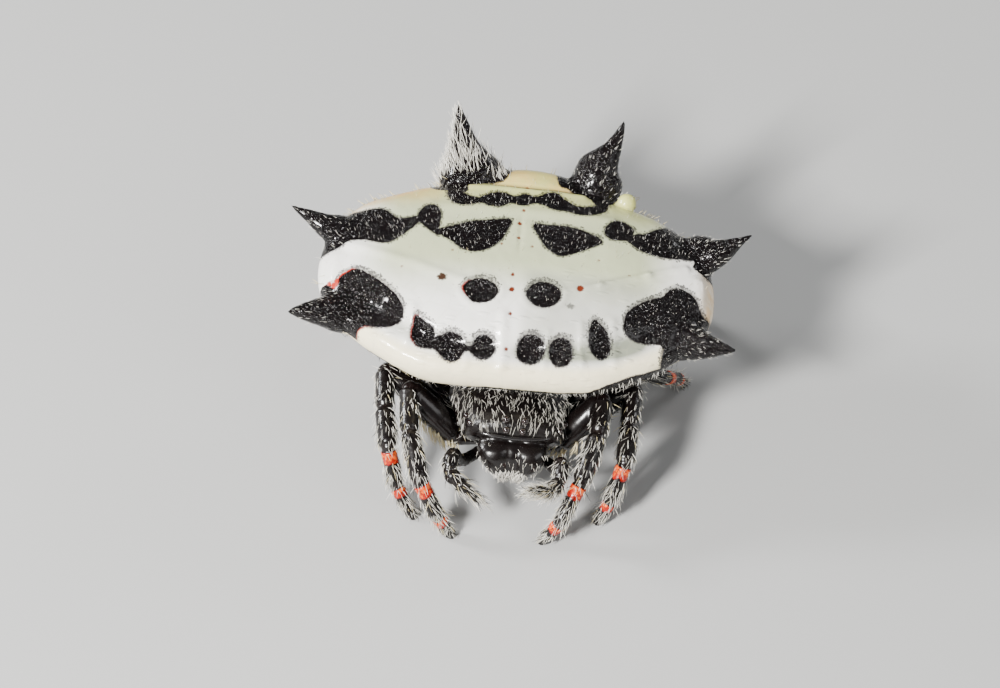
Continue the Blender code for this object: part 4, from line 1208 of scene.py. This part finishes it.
def bristles(name, groups, material, slot):
    """Solid tapered bristles, 16 triangles each. A group holds, for each bristle: its place, the skin's
    normal, the way it lies, lift in degrees, length, radius, bend back, tone and place on the map."""
    spot, normal, lie, lift, length, radius, bend, tone, uv = (
        np.concatenate([np.asarray(g[i], float) for g in groups]) for i in range(9)
    )
    lie = unit(lie - normal * (lie * normal).sum(1)[:, None])
    lift = np.radians(lift)[:, None]
    start_way = unit(lie * np.cos(lift) + normal * np.sin(lift))
    side = unit(np.cross(start_way, normal))
    up = unit(np.cross(side, start_way))
    base = spot - normal * 0.03
    turns = np.radians((90, 210, 330))
    rings = []
    for share, thick in BRISTLE_STATIONS:
        centre = base + start_way * (length * share)[:, None] - up * (bend * length * share**2)[:, None]
        for turn in turns:
            around = side * math.cos(turn) + up * math.sin(turn)
            rings.append(centre + around * (radius * thick)[:, None])
    rings.append(base + start_way * length[:, None] - up * (bend * length)[:, None])
    points = np.stack(rings, 1)
    clear = points[:, :, 2].min(1) > 0.004
    points, tone, uv = points[clear], tone[clear], uv[clear]
    count = len(points)
    pattern = []
    for level in (0, 3):
        for i in range(3):
            j = (i + 1) % 3
            pattern.append((level + i, level + j, level + 3 + j, level + 3 + i))
    quads = np.array(pattern)
    tris = np.array([(6, 7, 9), (7, 8, 9), (8, 6, 9), (2, 1, 0)])
    offset = (np.arange(count) * 10)[:, None, None]
    quad_faces = (quads[None] + offset).reshape(-1, 4)
    tri_faces = (tris[None] + offset).reshape(-1, 3)
    mesh = bpy.data.meshes.new(name)
    loops = np.concatenate([quad_faces.ravel(), tri_faces.ravel()])
    tri_starts = len(quad_faces) * 4 + np.arange(len(tri_faces)) * 3
    starts = np.concatenate([np.arange(len(quad_faces)) * 4, tri_starts])
    mesh.vertices.add(count * 10)
    mesh.vertices.foreach_set("co", points.astype(np.float32).ravel())
    mesh.loops.add(len(loops))
    mesh.loops.foreach_set("vertex_index", loops.astype(np.int32))
    mesh.polygons.add(len(starts))
    mesh.polygons.foreach_set("loop_start", starts.astype(np.int32))
    mesh.update(calc_edges=True)
    mesh.validate()
    set_attribute(mesh, "tone", np.repeat(tone, 10))
    shares = (*(share for share, _ in BRISTLE_STATIONS), 1.0)
    set_attribute(mesh, "share", np.tile(np.repeat(shares, (3, 3, 3, 1)), count))
    corners = np.array([(math.cos(t), math.sin(t)) for t in turns])
    local = np.vstack([corners * 0.0015, corners * 0.0011, corners * 0.0007, [(0, 0)]])
    spread = (uv[:, None, :] + local[None]).reshape(-1, 2)
    layer = mesh.uv_layers.new(name="OFBake")
    indices = np.zeros(len(mesh.loops), np.int32)
    mesh.loops.foreach_get("vertex_index", indices)
    layer.data.foreach_set("uv", np.clip(spread[indices], 0.001, 0.999).astype(np.float32).ravel())
    thing = bpy.data.objects.new(name, mesh)
    bpy.context.scene.collection.objects.link(thing)
    finish_piece(thing, material, slot)


def spin(lie, normal, degrees):
    """Turns each lie direction about its normal."""
    a = np.radians(degrees)[:, None]
    return lie * np.cos(a) + np.cross(normal, lie) * np.sin(a)


def limb_uv(read, spot, limbs):
    """Each limb is a strip of the map: along it upwards, and around it across."""
    names = list(LIMBS)
    uv = np.zeros((len(spot), 2))
    for place, name in enumerate(limbs):
        n = names.index(name)
        joints = np.array(LIMBS[name], float)
        sizes = np.linalg.norm(joints[1:] - joints[:-1], axis=1)
        before = np.concatenate([[0], np.cumsum(sizes)])
        here = read["limb"] == n
        along = before[read["part"][here]] + read["along"][here]
        side, up = across(joints[-1] - joints[0])
        out = spot[here] - read["foot"][here]
        angle = np.arctan2(out @ up, out @ side) / (2 * math.pi) + 0.5
        uv[here, 0] = (place + 0.03 + 0.94 * angle) / len(limbs)
        uv[here, 1] = 0.01 + 0.98 * along / before[-1]
    return uv


def image_down(normals):
    """How far each normal points down in the photo."""
    return -(normals[:, 1] + normals[:, 2]) * math.sqrt(0.5)


def limb_density(read, normals):
    """Bristles per square millimetre at each point of the limbs, from the photo."""
    part = np.clip(read["part"], 0, 5)
    leg = read["limb"] < len(LEGS)
    density = np.where(leg, np.array(LEG_DENSITY)[part], np.array(PALP_DENSITY)[part])
    # the front femora are bare but for a comb along the lower edge
    names = list(LIMBS)
    front = np.isin(read["limb"], [names.index(n) for n in ("leg_right_1", "leg_left_1")])
    comb = 250 * bell(image_down(normals) - 0.9, 0.12) * step(read["left"], 0.1, 0.4)
    density = np.where(front & (part == 1), comb, density)
    # few bristles cross the orange rings
    on_meta, on_tarsus = (np.abs(read["along"] - LEG_RINGS[piece][0]) for piece in (4, 5))
    in_ring = ((part == 4) & (on_meta < 0.2)) | ((part == 5) & (on_tarsus < 0.15))
    density = np.where(leg & in_ring, density * 0.2, density)
    bushy = read["limb"] == names.index("palp_left")
    density = np.where(bushy & (part >= 3), density * 1.6, density)
    return np.where(read["away"] < 0.16, density, 0)


def make_limb_bristles(skin, material, rng):
    mesh = skin.data
    points, normals = points_of(mesh), normals_of(mesh)
    read = limb_reading(points)
    names = list(LIMBS)
    groups = {
        "bristles_front_right": ("leg_right_1", "leg_right_2"),
        "bristles_front_left": ("leg_left_1", "leg_left_2"),
        "bristles_rear_right": ("leg_right_3", "leg_right_4"),
        "bristles_rear_left": ("leg_left_3", "leg_left_4"),
        "bristles_palps": ("palp_right", "palp_left"),
    }
    density = limb_density(read, normals)
    density = density * (1 + 0.35 * rough_field(points, 0.25, 15))
    front_legs = [names.index(n) for n in ("leg_right_1", "leg_left_1")]
    for name, members in groups.items():
        here = np.isin(read["limb"], [names.index(m) for m in members])
        share = 0.72 if "rear" in name else 1.0
        spot, normal = surface_samples(mesh, np.where(here, density * share, 0), rng)
        near = limb_reading(spot)
        count = len(spot)
        lie = spin(near["axis"] + 0.2 * np.array((0, 0, -1.0)), normal, rng.normal(0, 15, count))
        part = np.clip(near["part"], 0, 5)
        comb = (part == 1) & np.isin(near["limb"], front_legs)
        lie[comb] = np.array((0.0, -0.7, -0.7)) - 0.35 * near["axis"][comb]
        length = np.array(LEG_BRISTLE_LENGTH)[part]
        if name == "bristles_palps":
            length = np.array(PALP_BRISTLE_LENGTH)[part]
            length = np.where(near["limb"] == names.index("palp_left"), length * 1.12, length)
        length = length * rng.uniform(0.65, 1.3, count)
        # shorter near the tip of the foot, where they end at the floor
        length = np.minimum(length, 0.13 + np.maximum(spot[:, 2], 0.0) * 0.9)
        lift = rng.normal(27, 9, count)
        lift = np.where(comb, rng.normal(52, 8, count), lift)
        length = np.where(comb, rng.uniform(0.34, 0.5, count), length)
        radius = rng.uniform(0.0085, 0.014, count) + np.where(comb, 0.004, 0.0)
        bend = rng.uniform(0.1, 0.4, count)
        kind = rng.random(count)
        tone = np.where(kind < 0.15, DARK_TONE, np.where(kind > 0.92, YELLOW_TONE, kind))
        tone = np.where(comb, YELLOW_TONE, tone)
        uv = limb_uv(near, spot, members)
        group = (spot, normal, lie, lift, length, radius, bend, tone, uv)
        bristles(name, [group], material, "black_cuticle")


def make_head_bristles(skin, material, rng):
    mesh = skin.data
    points, normals = points_of(mesh), normals_of(mesh)
    read = limb_reading(points)
    x, y, z = points.T
    body = read["away"] > 0.1
    middle = x - HEAD_LEAN * np.clip(1 - y / HEAD_LEAN_FROM, 0, 1)
    carapace = body & (z > 2.2) & (y < 3.2) & (y + z > 2.86) & ~((z < 2.74) & (y < 0.16))
    jaws = body & (z < 2.3) & (y < 0.5) & (z > 0.9)
    under = body & (z < 1.9) & (y > 0.4) & (normals[:, 2] < 0)
    density = np.where(carapace, 84.0, 0)
    tuft = 400 * step(1.75 - z, 0, 0.2) * step(0.5 - np.abs(middle), 0, 0.2) * (y < 0.2)
    density = np.where(jaws, 14 + 42 * step(2.2 - z, 0, 0.3) + tuft, density)
    density = np.where(under, 14.0, density)
    density = density * (1 + 0.3 * rough_field(points, 0.3, 16))
    for name in EYE_NODES:
        centre, _ = eye_place(name)
        density = np.where(np.linalg.norm(points - centre, axis=1) < 0.17, 0, density)
    spot, normal = surface_samples(mesh, density, rng)
    count = len(spot)
    forward = np.tile((0.0, -1.0, -0.6), (count, 1))
    forward[:, 0] = -0.3 * (spot[:, 0] - HEAD_LEAN)
    jaw = (spot[:, 2] < 2.3) & (spot[:, 1] < 0.5)
    forward[jaw] = (0.0, -0.2, -1.0)
    lie = spin(forward, normal, rng.normal(0, np.where(jaw, 24, 13), count))
    length = rng.uniform(0.26, 0.42, count)
    length = np.where(jaw, rng.uniform(0.12, 0.28, count), length)
    lift = rng.normal(23, 7, count)
    in_tuft = jaw & (spot[:, 2] < 1.7)
    lift = np.where(in_tuft, rng.normal(46, 12, count), lift)
    radius = rng.uniform(0.0075, 0.0115, count) + np.where(in_tuft, 0.004, 0.0)
    bend = rng.uniform(0.1, 0.5, count) + np.where(in_tuft, 0.4, 0.0)
    tone = np.where(in_tuft, rng.uniform(0.0, 0.4, count), rng.random(count))
    around = 0.5 + np.arctan2(spot[:, 0], spot[:, 2] - 1.9) / (2 * math.pi)
    uv = np.stack([around, (spot[:, 1] + 0.8) / 4.4], 1)
    group = (spot, normal, lie, lift, length, radius, bend, tone, uv)
    bristles("bristles_head", [group], material, "black_cuticle")


def make_abdomen_bristles(skin, material, rng):
    """Comb of the hairy spine, short hairs of the other spines and the rims, and fine hairs of the shield."""
    mesh = skin.data
    points, normals = points_of(mesh), normals_of(mesh)
    own = to_abdomen(points)
    x, y, z = own.T
    share, away, which = spine_reading(own)
    under = read_attribute(mesh, "under")
    mark = read_attribute(mesh, "mark")
    beyond = np.where(which >= 4, y > 3.3, np.abs(x) > 5.0) & (away < 0.25) & (share > 0.1)
    on_hairy = beyond & (which == HAIRY_SPINE) & (z > -0.5)
    hairy = on_hairy * (7.0 + 72.0 * step(0.55 - normals[:, 0], 0, 0.5))
    hairy = hairy * (1 + 0.8 * step(0.4 - share, 0, 0.2))
    thorn = (beyond & ~on_hairy) * 16.0
    patchy = step(rough_field(points, 0.3, 18), -0.15, 0.3)
    rear_left = (x < -1.5) & (y > 1.2) & (z > -0.6) & (z < 0.45)
    rear_right = (x > 2.4) & (y > 1.4) & (z > -0.6) & (z < 0.3)
    rear_rim = (y > 3.0) & (z > -0.6) & (z < 0.1)
    left_rim = (x < -5.2) & (np.abs(y) < 0.7) & (z > -0.5) & (z < 0.2)
    rim = rear_left * 46.0 + (rear_right | rear_rim) * 30.0 + left_rim * 22.0
    rim = rim * (~beyond) * (normals[:, 2] < 0.72) * patchy
    fringe = (y < -1.1) & (under > 0.02) & (z > -1.1) & ~beyond
    belly = (z < -0.7) & ~beyond & ~fringe
    on_marks = (mark > -0.05) & (y > 0.5) & ~beyond
    on_front_marks = (mark > 0.02) & (y <= 0.5) & ~beyond
    on_top = (z > 0.0) & (y > -0.4) & ~beyond & ~on_marks & ~on_front_marks
    tip_ways = [np.array(s[-1][:3]) - np.array(s[2][:3]) for s in SPINES]
    axes = unit(to_body(np.array(tip_ways)) - ABDOMEN_ORIGIN)
    down, back = np.array((0.0, -0.3, -1.0)), np.array((0.0, 0.7, 0.7))
    kinds = (
        # bristles per square millimetre, length, lift, radius, bend, tones, own way
        (hairy, (0.32, 0.52), (27, 8), (0.0095, 0.0145), 0.1, (0.0, 0.4), None),
        (thorn * 1.6, (0.1, 0.2), (35, 10), (0.0055, 0.0085), 0.15, (0.0, 1.0), None),
        (rim * 1.3, (0.22, 0.36), (62, 10), (0.009, 0.0135), 0.08, (0.9, 1.6), "out"),
        (fringe * 55.0, (0.16, 0.3), (42, 12), (0.0085, 0.012), 0.25, (-0.6, 1.0), down),
        (belly * 9.0, (0.16, 0.28), (40, 10), (0.006, 0.01), 0.2, (0.0, 1.0), down),
        (on_marks * 30.0, (0.09, 0.16), (45, 12), (0.0035, 0.0055), 0.1, (0.3, 1.0), back),
        (on_front_marks * 58.0, (0.035, 0.075), (48, 14), (0.0065, 0.0105), 0.1, (0.0, 0.5), back),
        (on_top * 6.0, (0.1, 0.2), (50, 12), (0.0038, 0.006), 0.1, (0.6, 1.4), back),
    )
    groups = []
    for density, length, lift, radius, bend, tones, way in kinds:
        spot, normal = surface_samples(mesh, density, rng)
        count = len(spot)
        place = to_abdomen(spot)
        share, _, which = spine_reading(place)
        if way is None:
            lie = axes[which] + 0.3 * normal * (1, 0, 0)
        else:
            outward = unit(np.stack([spot[:, 0], spot[:, 1] - 3.8, np.full(count, -0.3)], 1))
            lie = outward if isinstance(way, str) else outward * 0.3 + way
        lie = spin(lie, normal, rng.normal(0, 16, count))
        sizes = rng.uniform(*length, count)
        if way is None:
            sizes = sizes * (1.1 - 0.6 * step(share, 0.75, 1.0))
        upper = place[:, 2] > -0.3
        uv = np.stack([0.25 + place[:, 0] / 28 + np.where(upper, 0, 0.5), 0.5 + place[:, 1] / 14], 1)
        groups.append((
            spot, normal, lie, rng.normal(*lift, count), sizes, rng.uniform(*radius, count),
            np.full(count, bend), rng.uniform(*tones, count), uv,
        ))
    bristles("bristles_abdomen", groups, material, "shield")


# Materials
class Finish:
    """A node material with short ways to add its nodes."""

    def __init__(self, name):
        self.material = bpy.data.materials.new(name)
        self.material.use_nodes = True
        self.tree = self.material.node_tree
        self.shader = self.tree.nodes["Principled BSDF"]
        self.coords = self.tree.nodes.new("ShaderNodeTexCoord").outputs["Object"]

    def link(self, source, target):
        self.tree.links.new(source, target)

    def put(self, socket, value):
        if isinstance(value, bpy.types.NodeSocket):
            self.link(value, socket)
        else:
            socket.default_value = value

    def attribute(self, name):
        node = self.tree.nodes.new("ShaderNodeAttribute")
        node.attribute_name = name
        return node.outputs["Fac"]

    def noise(self, size, detail=3.0, roughness=0.55, stretch=None):
        """Noise whose lumps are about size millimetres across."""
        node = self.tree.nodes.new("ShaderNodeTexNoise")
        node.inputs["Scale"].default_value = 1 / (size * MM)
        node.inputs["Detail"].default_value = detail
        node.inputs["Roughness"].default_value = roughness
        self.link(self.stretched(stretch), node.inputs["Vector"])
        return node.outputs["Fac"]

    def stretched(self, scale):
        """The coordinates, multiplied by scale if it is given."""
        if scale is None:
            return self.coords
        node = self.tree.nodes.new("ShaderNodeVectorMath")
        node.operation = "MULTIPLY"
        self.link(self.coords, node.inputs[0])
        node.inputs[1].default_value = scale
        return node.outputs[0]

    def cells(self, size, output="Distance", feature="F1", stretch=None):
        node = self.tree.nodes.new("ShaderNodeTexVoronoi")
        node.feature = feature
        node.inputs["Scale"].default_value = 1 / (size * MM)
        self.link(self.stretched(stretch), node.inputs["Vector"])
        return node.outputs[output]

    def dome(self, distance):
        """Height of a round dome on each cell, from 1 in the middle to 0 at half a cell."""
        square = self.math("MULTIPLY", distance, distance)
        return self.math("MULTIPLY_ADD", square, -4.0, 1.0, clamp=True)

    def math(self, operation, a, b=0.0, c=0.0, clamp=False):
        node = self.tree.nodes.new("ShaderNodeMath")
        node.operation = operation
        node.use_clamp = clamp
        for socket, value in zip(node.inputs, (a, b, c)):
            self.put(socket, value)
        return node.outputs["Value"]

    def times(self, a, b, clamp=False):
        return self.math("MULTIPLY", a, b, clamp=clamp)

    def plus(self, a, b):
        return self.math("ADD", a, b)

    def scaled(self, a, factor, offset):
        return self.math("MULTIPLY_ADD", a, factor, offset)

    def span(self, value, low, high, to_low=0.0, to_high=1.0):
        """Maps low..high smoothly to to_low..to_high."""
        node = self.tree.nodes.new("ShaderNodeMapRange")
        node.interpolation_type = "SMOOTHSTEP"
        names = ("Value", "From Min", "From Max", "To Min", "To Max")
        for name, v in zip(names, (value, low, high, to_low, to_high)):
            self.put(node.inputs[name], v)
        return node.outputs["Result"]

    def mix(self, share, a, b):
        node = self.tree.nodes.new("ShaderNodeMix")
        node.data_type = "RGBA"
        self.put(node.inputs["Factor"], share)
        self.put(node.inputs[6], a if not isinstance(a, tuple) else (*a, 1.0))
        self.put(node.inputs[7], b if not isinstance(b, tuple) else (*b, 1.0))
        return node.outputs[2]

    def blend(self, share, a, b):
        node = self.tree.nodes.new("ShaderNodeMix")
        node.data_type = "FLOAT"
        self.put(node.inputs["Factor"], share)
        self.put(node.inputs[2], a)
        self.put(node.inputs[3], b)
        return node.outputs[0]

    def bump(self, height, depth, strength=1.0, under=None):
        """Relief of depth millimetres for a height from 0 to 1."""
        node = self.tree.nodes.new("ShaderNodeBump")
        node.inputs["Strength"].default_value = strength
        node.inputs["Distance"].default_value = depth * MM
        self.put(node.inputs["Height"], height)
        if under is not None:
            self.link(under, node.inputs["Normal"])
        return node.outputs["Normal"]

    def set(self, **values):
        for name, value in values.items():
            self.put(self.shader.inputs[name.replace("_", " ")], value)


def enamel_finish():
    f = Finish("enamel")
    black = f.attribute("black")
    streaks = f.noise(0.06, 3.0, 0.7, (1.0, 0.4, 0.4))
    ragged = f.scaled(streaks, 0.1, -0.05)
    edge = f.plus(black, ragged)
    mask = f.span(edge, -0.02, 0.025)
    smoke = f.attribute("smoke")
    haze = f.span(f.plus(smoke, f.scaled(streaks, 0.6, -0.3)), 0.45, 1.0, 0.0, 0.5)
    soft = f.span(f.plus(edge, f.scaled(f.noise(0.035, 2.0), 0.08, -0.04)), -0.06, 0.0)
    haze = f.math("MAXIMUM", haze, soft)
    pit = f.span(f.plus(f.attribute("pit"), f.scaled(f.noise(0.05), 0.07, -0.035)), -0.03, 0.02)
    tone = f.noise(1.4, 4.0, 0.6)
    white = f.mix(tone, (0.86, 0.845, 0.79), (0.95, 0.935, 0.88))
    # greenish tint of the rear, darkened as painted shade
    white = f.mix(f.times(f.attribute("green_tint_and_shade"), 0.95), white, (0.44, 0.475, 0.28))
    # painted shade in the front trough and on the spider's left front
    white = f.mix(f.times(f.attribute("painted_shade"), 0.9, clamp=True), white, (0.25, 0.265, 0.205))
    white = f.mix(f.times(f.attribute("cream"), 0.95, clamp=True), white, (0.58, 0.58, 0.18))
    white = f.mix(f.attribute("lip"), white, (0.97, 0.87, 0.60))
    warm = f.times(f.attribute("warm"), f.span(f.noise(0.35, 3.0), 0.3, 0.6, 0.5, 1.0), clamp=True)
    white = f.mix(warm, white, (0.80, 0.50, 0.16))
    veins = f.span(f.cells(0.55, feature="DISTANCE_TO_EDGE"), 0.0, 0.08, 0.1, 0.0)
    white = f.mix(veins, white, (0.50, 0.48, 0.34))
    specks = f.span(f.cells(0.17), 0.05, 0.14, 0.6, 0.0)
    specks = f.times(specks, f.span(f.noise(0.5), 0.48, 0.66))
    white = f.mix(specks, white, (0.22, 0.18, 0.11))
    # fine black grains that thin out away from each mark
    scatter = f.span(f.plus(smoke, f.noise(0.3)), 0.45, 1.35)
    grains = f.math("LESS_THAN", f.plus(f.cells(0.055), f.cells(0.055, output="Color")), scatter)
    haze = f.math("MAXIMUM", haze, f.times(grains, 0.85))
    white = f.mix(haze, white, (0.02, 0.017, 0.018))
    # painted shade: the groove between the rear lobe and the shield is darkened
    white = f.mix(f.times(f.attribute("groove"), 0.9, clamp=True), white, (0.08, 0.06, 0.03))
    red_edge = f.span(f.plus(black, f.times(ragged, 0.6)), -0.045, -0.03)
    red = f.times(f.attribute("rust"), red_edge, clamp=True)
    dark = f.mix(f.noise(0.25), (0.0012, 0.001, 0.0013), (0.005, 0.003, 0.003))
    colour = f.mix(pit, white, (0.13, 0.022, 0.008))
    blot_edge = f.scaled(f.noise(0.07, 4.0, 0.75), 1.6, -0.95)
    brown = f.span(f.plus(f.attribute("brown_blot"), blot_edge), 0.0, 0.35)
    colour = f.mix(brown, colour, (0.035, 0.014, 0.006))
    grey = f.span(f.plus(f.attribute("grey_blot"), blot_edge), 0.0, 0.5, 0.0, 0.8)
    colour = f.mix(grey, colour, (0.07, 0.07, 0.06))
    colour = f.mix(red, colour, (0.42, 0.02, 0.006))
    colour = f.mix(mask, colour, dark)
    spots = f.span(f.attribute("spots"), 0.02, 0.08)
    colour = f.mix(spots, colour, (0.62, 0.50, 0.18))
    # black parts are covered with tiny domes
    picked = f.span(f.cells(0.125, output="Color"), 0.35, 0.45)
    domes = f.times(f.dome(f.cells(0.125)), picked)
    small = f.times(f.dome(f.cells(0.06)), 0.25)
    dashes = f.times(f.dome(f.cells(0.09, stretch=(0.22, 0.7, 0.7))), 0.45)
    chosen = f.span(f.cells(0.09, "Color", stretch=(0.22, 0.7, 0.7)), 0.64, 0.66)
    dashes = f.times(f.times(dashes, chosen), f.attribute("dash"))
    dark_relief = f.blend(mask, dashes, f.plus(domes, small))
    grain = f.bump(f.plus(f.noise(0.3, 2.0), f.times(f.noise(0.07, 2.0), 0.3)), 0.008, 0.35)
    relief = f.bump(dark_relief, 0.05, 1.0, under=grain)
    f.set(
        Base_Color=colour,
        Roughness=f.blend(
            mask, f.span(tone, 0.3, 0.7, 0.28, 0.36), f.span(f.noise(0.2), 0.3, 0.7, 0.08, 0.17)
        ),
        Normal=relief,
        Coat_Weight=f.blend(mask, 0.45, 0.0),
        Coat_Roughness=0.07,
        IOR=1.45,
        Specular_IOR_Level=0.36,
    )
    return f.material


def cuticle_finish():
    f = Finish("black_cuticle_skin")
    lumps = f.noise(0.3, 3.0)
    gloss = f.attribute("gloss")
    dark = f.mix(lumps, (0.0014, 0.0012, 0.0014), (0.006, 0.0035, 0.003))
    dark = f.mix(f.times(f.attribute("joint"), 0.25), dark, (0.012, 0.005, 0.004))
    edge = f.plus(f.attribute("ring"), f.scaled(f.noise(0.14, 3.0), 0.24, -0.1))
    ring = f.span(edge, -0.02, 0.04)
    # the brighter yellow-orange middle of each ring is partly its own colour and partly a painted highlight
    core_and_highlight = f.span(f.plus(edge, f.noise(0.1)), 0.6, 0.76)
    orange = f.mix(core_and_highlight, (0.34, 0.006, 0.0008), (0.72, 0.10, 0.003))
    colour = f.mix(ring, dark, orange)
    pores = f.times(f.cells(0.07), f.math("SUBTRACT", 1.0, gloss))
    relief = f.bump(pores, 0.014, 0.6)
    relief = f.bump(f.noise(0.2, 2.0), 0.01, 0.4, under=relief)
    f.set(
        Base_Color=colour,
        Roughness=f.blend(gloss, f.span(lumps, 0.3, 0.7, 0.26, 0.26 + 0.12), 0.25),
        Normal=relief,
        Coat_Weight=0.08,
        Coat_Roughness=0.1,
        Specular_IOR_Level=0.4,
    )
    return f.material


def bristle_finish():
    root, tip = (0.1, 0.085, 0.065), (0.80, 0.77, 0.69)
    f = Finish("bristle_pale")
    share = f.attribute("share")
    tone = f.attribute("tone")
    pale = f.mix(f.span(tone, 0.0, 1.0), tip, tuple(v * 0.68 for v in tip))
    pale = f.mix(f.span(tone, 1.0, 1.15), pale, (0.66, 0.57, 0.34))
    colour = f.mix(f.span(share, 0.0, 0.35), root, pale)
    colour = f.mix(f.span(tone, -0.06, 0.0, 1.0, 0.0), colour, (0.012, 0.01, 0.009))
    f.set(Base_Color=colour, Roughness=0.36, Specular_IOR_Level=0.5)
    return f.material


def lip_finish():
    f = Finish("lip_cuticle")
    colour = f.mix(f.noise(0.2), (0.006, 0.0055, 0.006), (0.016, 0.014, 0.014))
    f.set(Base_Color=colour, Roughness=0.18, Coat_Weight=0.6, Coat_Roughness=0.08)
    return f.material


def eye_finish():
    f = Finish("eye_lens")
    colour = f.mix(f.noise(0.08), (0.004, 0.004, 0.005), (0.02, 0.01, 0.008))
    f.set(Base_Color=colour, Roughness=0.06, Coat_Weight=1.0, Coat_Roughness=0.03, IOR=1.5)
    return f.material


def floor_finish():
    f = Finish("floor")
    colour = f.mix(f.noise(30.0, 2.0), (0.42, 0.425, 0.42), (0.46, 0.46, 0.455))
    f.set(Base_Color=colour, Roughness=0.75)
    return f.material


# Camera, light and floor
CAMERA_ELEVATION = math.radians(45.0)
CAMERA_ROLL = math.radians(5.5)
CAMERA_DISTANCE = 200.0
CAMERA_TARGET = (-0.296, 3.142, 3.0)
VIEW_HALF_WIDTH = 14.41
WHITE = (1.0, 1.0, 1.0)
# name, azimuth, elevation, distance, size, power, colour
LIGHTS = (
    ("key", -36, 36, 150, 26, 0.72, (1.0, 0.985, 0.96)), ("left", -98, 26, 160, 30, 0.28, WHITE),
    ("fill", 62, 36, 180, 90, 0.08, WHITE), ("rim", 132, 24, 170, 60, 0.08, WHITE),
)
FLOOR_HALF = 3


def place_camera():
    s, c = math.sin(CAMERA_ELEVATION), math.cos(CAMERA_ELEVATION)
    back = Vector((0.0, -c, s))
    right0, up0 = Vector((1.0, 0.0, 0.0)), Vector((0.0, s, c))
    right = right0 * math.cos(CAMERA_ROLL) + up0 * math.sin(CAMERA_ROLL)
    up = up0 * math.cos(CAMERA_ROLL) - right0 * math.sin(CAMERA_ROLL)
    x, y, z = CAMERA_TARGET
    target = Vector((x, y + BODY_SHIFT_Y, z)) * MM
    data = bpy.data.cameras.new("camera")
    data.sensor_width = 36.0
    data.lens = 36.0 / (2 * VIEW_HALF_WIDTH / CAMERA_DISTANCE)
    data.clip_start, data.clip_end = 0.01, 20.0
    camera = bpy.data.objects.new("camera", data)
    matrix = Matrix((right, up, back)).transposed().to_4x4()
    matrix.translation = target + back * CAMERA_DISTANCE * MM
    camera.matrix_world = matrix
    bpy.context.scene.collection.objects.link(camera)
    bpy.context.scene.camera = camera


def area_light(name, azimuth, elevation, distance, size, power, colour):
    """A square soft light; azimuth 0 stands in front of the face, 90 at the spider's left."""
    a, e = math.radians(azimuth), math.radians(elevation)
    way = Vector((math.sin(a) * math.cos(e), -math.cos(a) * math.cos(e), math.sin(e)))
    data = bpy.data.lights.new(name, "AREA")
    data.shape = "SQUARE"
    data.size = size * MM
    data.energy = power
    data.color = colour
    light = bpy.data.objects.new(name, data)
    light.location = Vector((0.0, 0.0, 3.0)) * MM + way * distance * MM
    light.rotation_mode = "QUATERNION"
    light.rotation_quaternion = way.to_track_quat("Z", "Y")
    bpy.context.scene.collection.objects.link(light)


def make_stage():
    corners = [(x * FLOOR_HALF, y * FLOOR_HALF, 0) for x, y in ((-1, -1), (1, -1), (1, 1), (-1, 1))]
    floor = object_from("floor", (np.array(corners, float), [(0, 1, 2, 3)]))
    floor.data.materials.append(floor_finish())
    for light in LIGHTS:
        area_light(*light)
    world = bpy.data.worlds.new("studio")
    bpy.context.scene.world = world
    world.use_nodes = True
    background = world.node_tree.nodes["Background"]
    background.inputs["Color"].default_value = (0.80, 0.83, 0.86, 1.0)
    background.inputs["Strength"].default_value = 0.16


def main():
    rng = np.random.default_rng(SEED)
    cuticle = cuticle_finish()
    pale_bristle = bristle_finish()
    abdomen = make_abdomen()
    dark = make_dark_body()
    make_abdomen_bristles(abdomen, pale_bristle, rng)
    make_limb_bristles(dark, pale_bristle, rng)
    make_head_bristles(dark, pale_bristle, rng)
    finish_piece(abdomen, enamel_finish(), "shield", "abdomen")
    dark_nodes = ["cephalothorax", "chelicera_right", "chelicera_left", *PALPS, *LEGS]
    finish_piece(dark, cuticle, "black_cuticle", *dark_nodes)
    make_eyes(eye_finish())
    make_fangs(cuticle)
    make_claws(cuticle)
    make_lip(lip_finish())
    make_spinnerets(cuticle)
    place_camera()
    make_stage()


main()
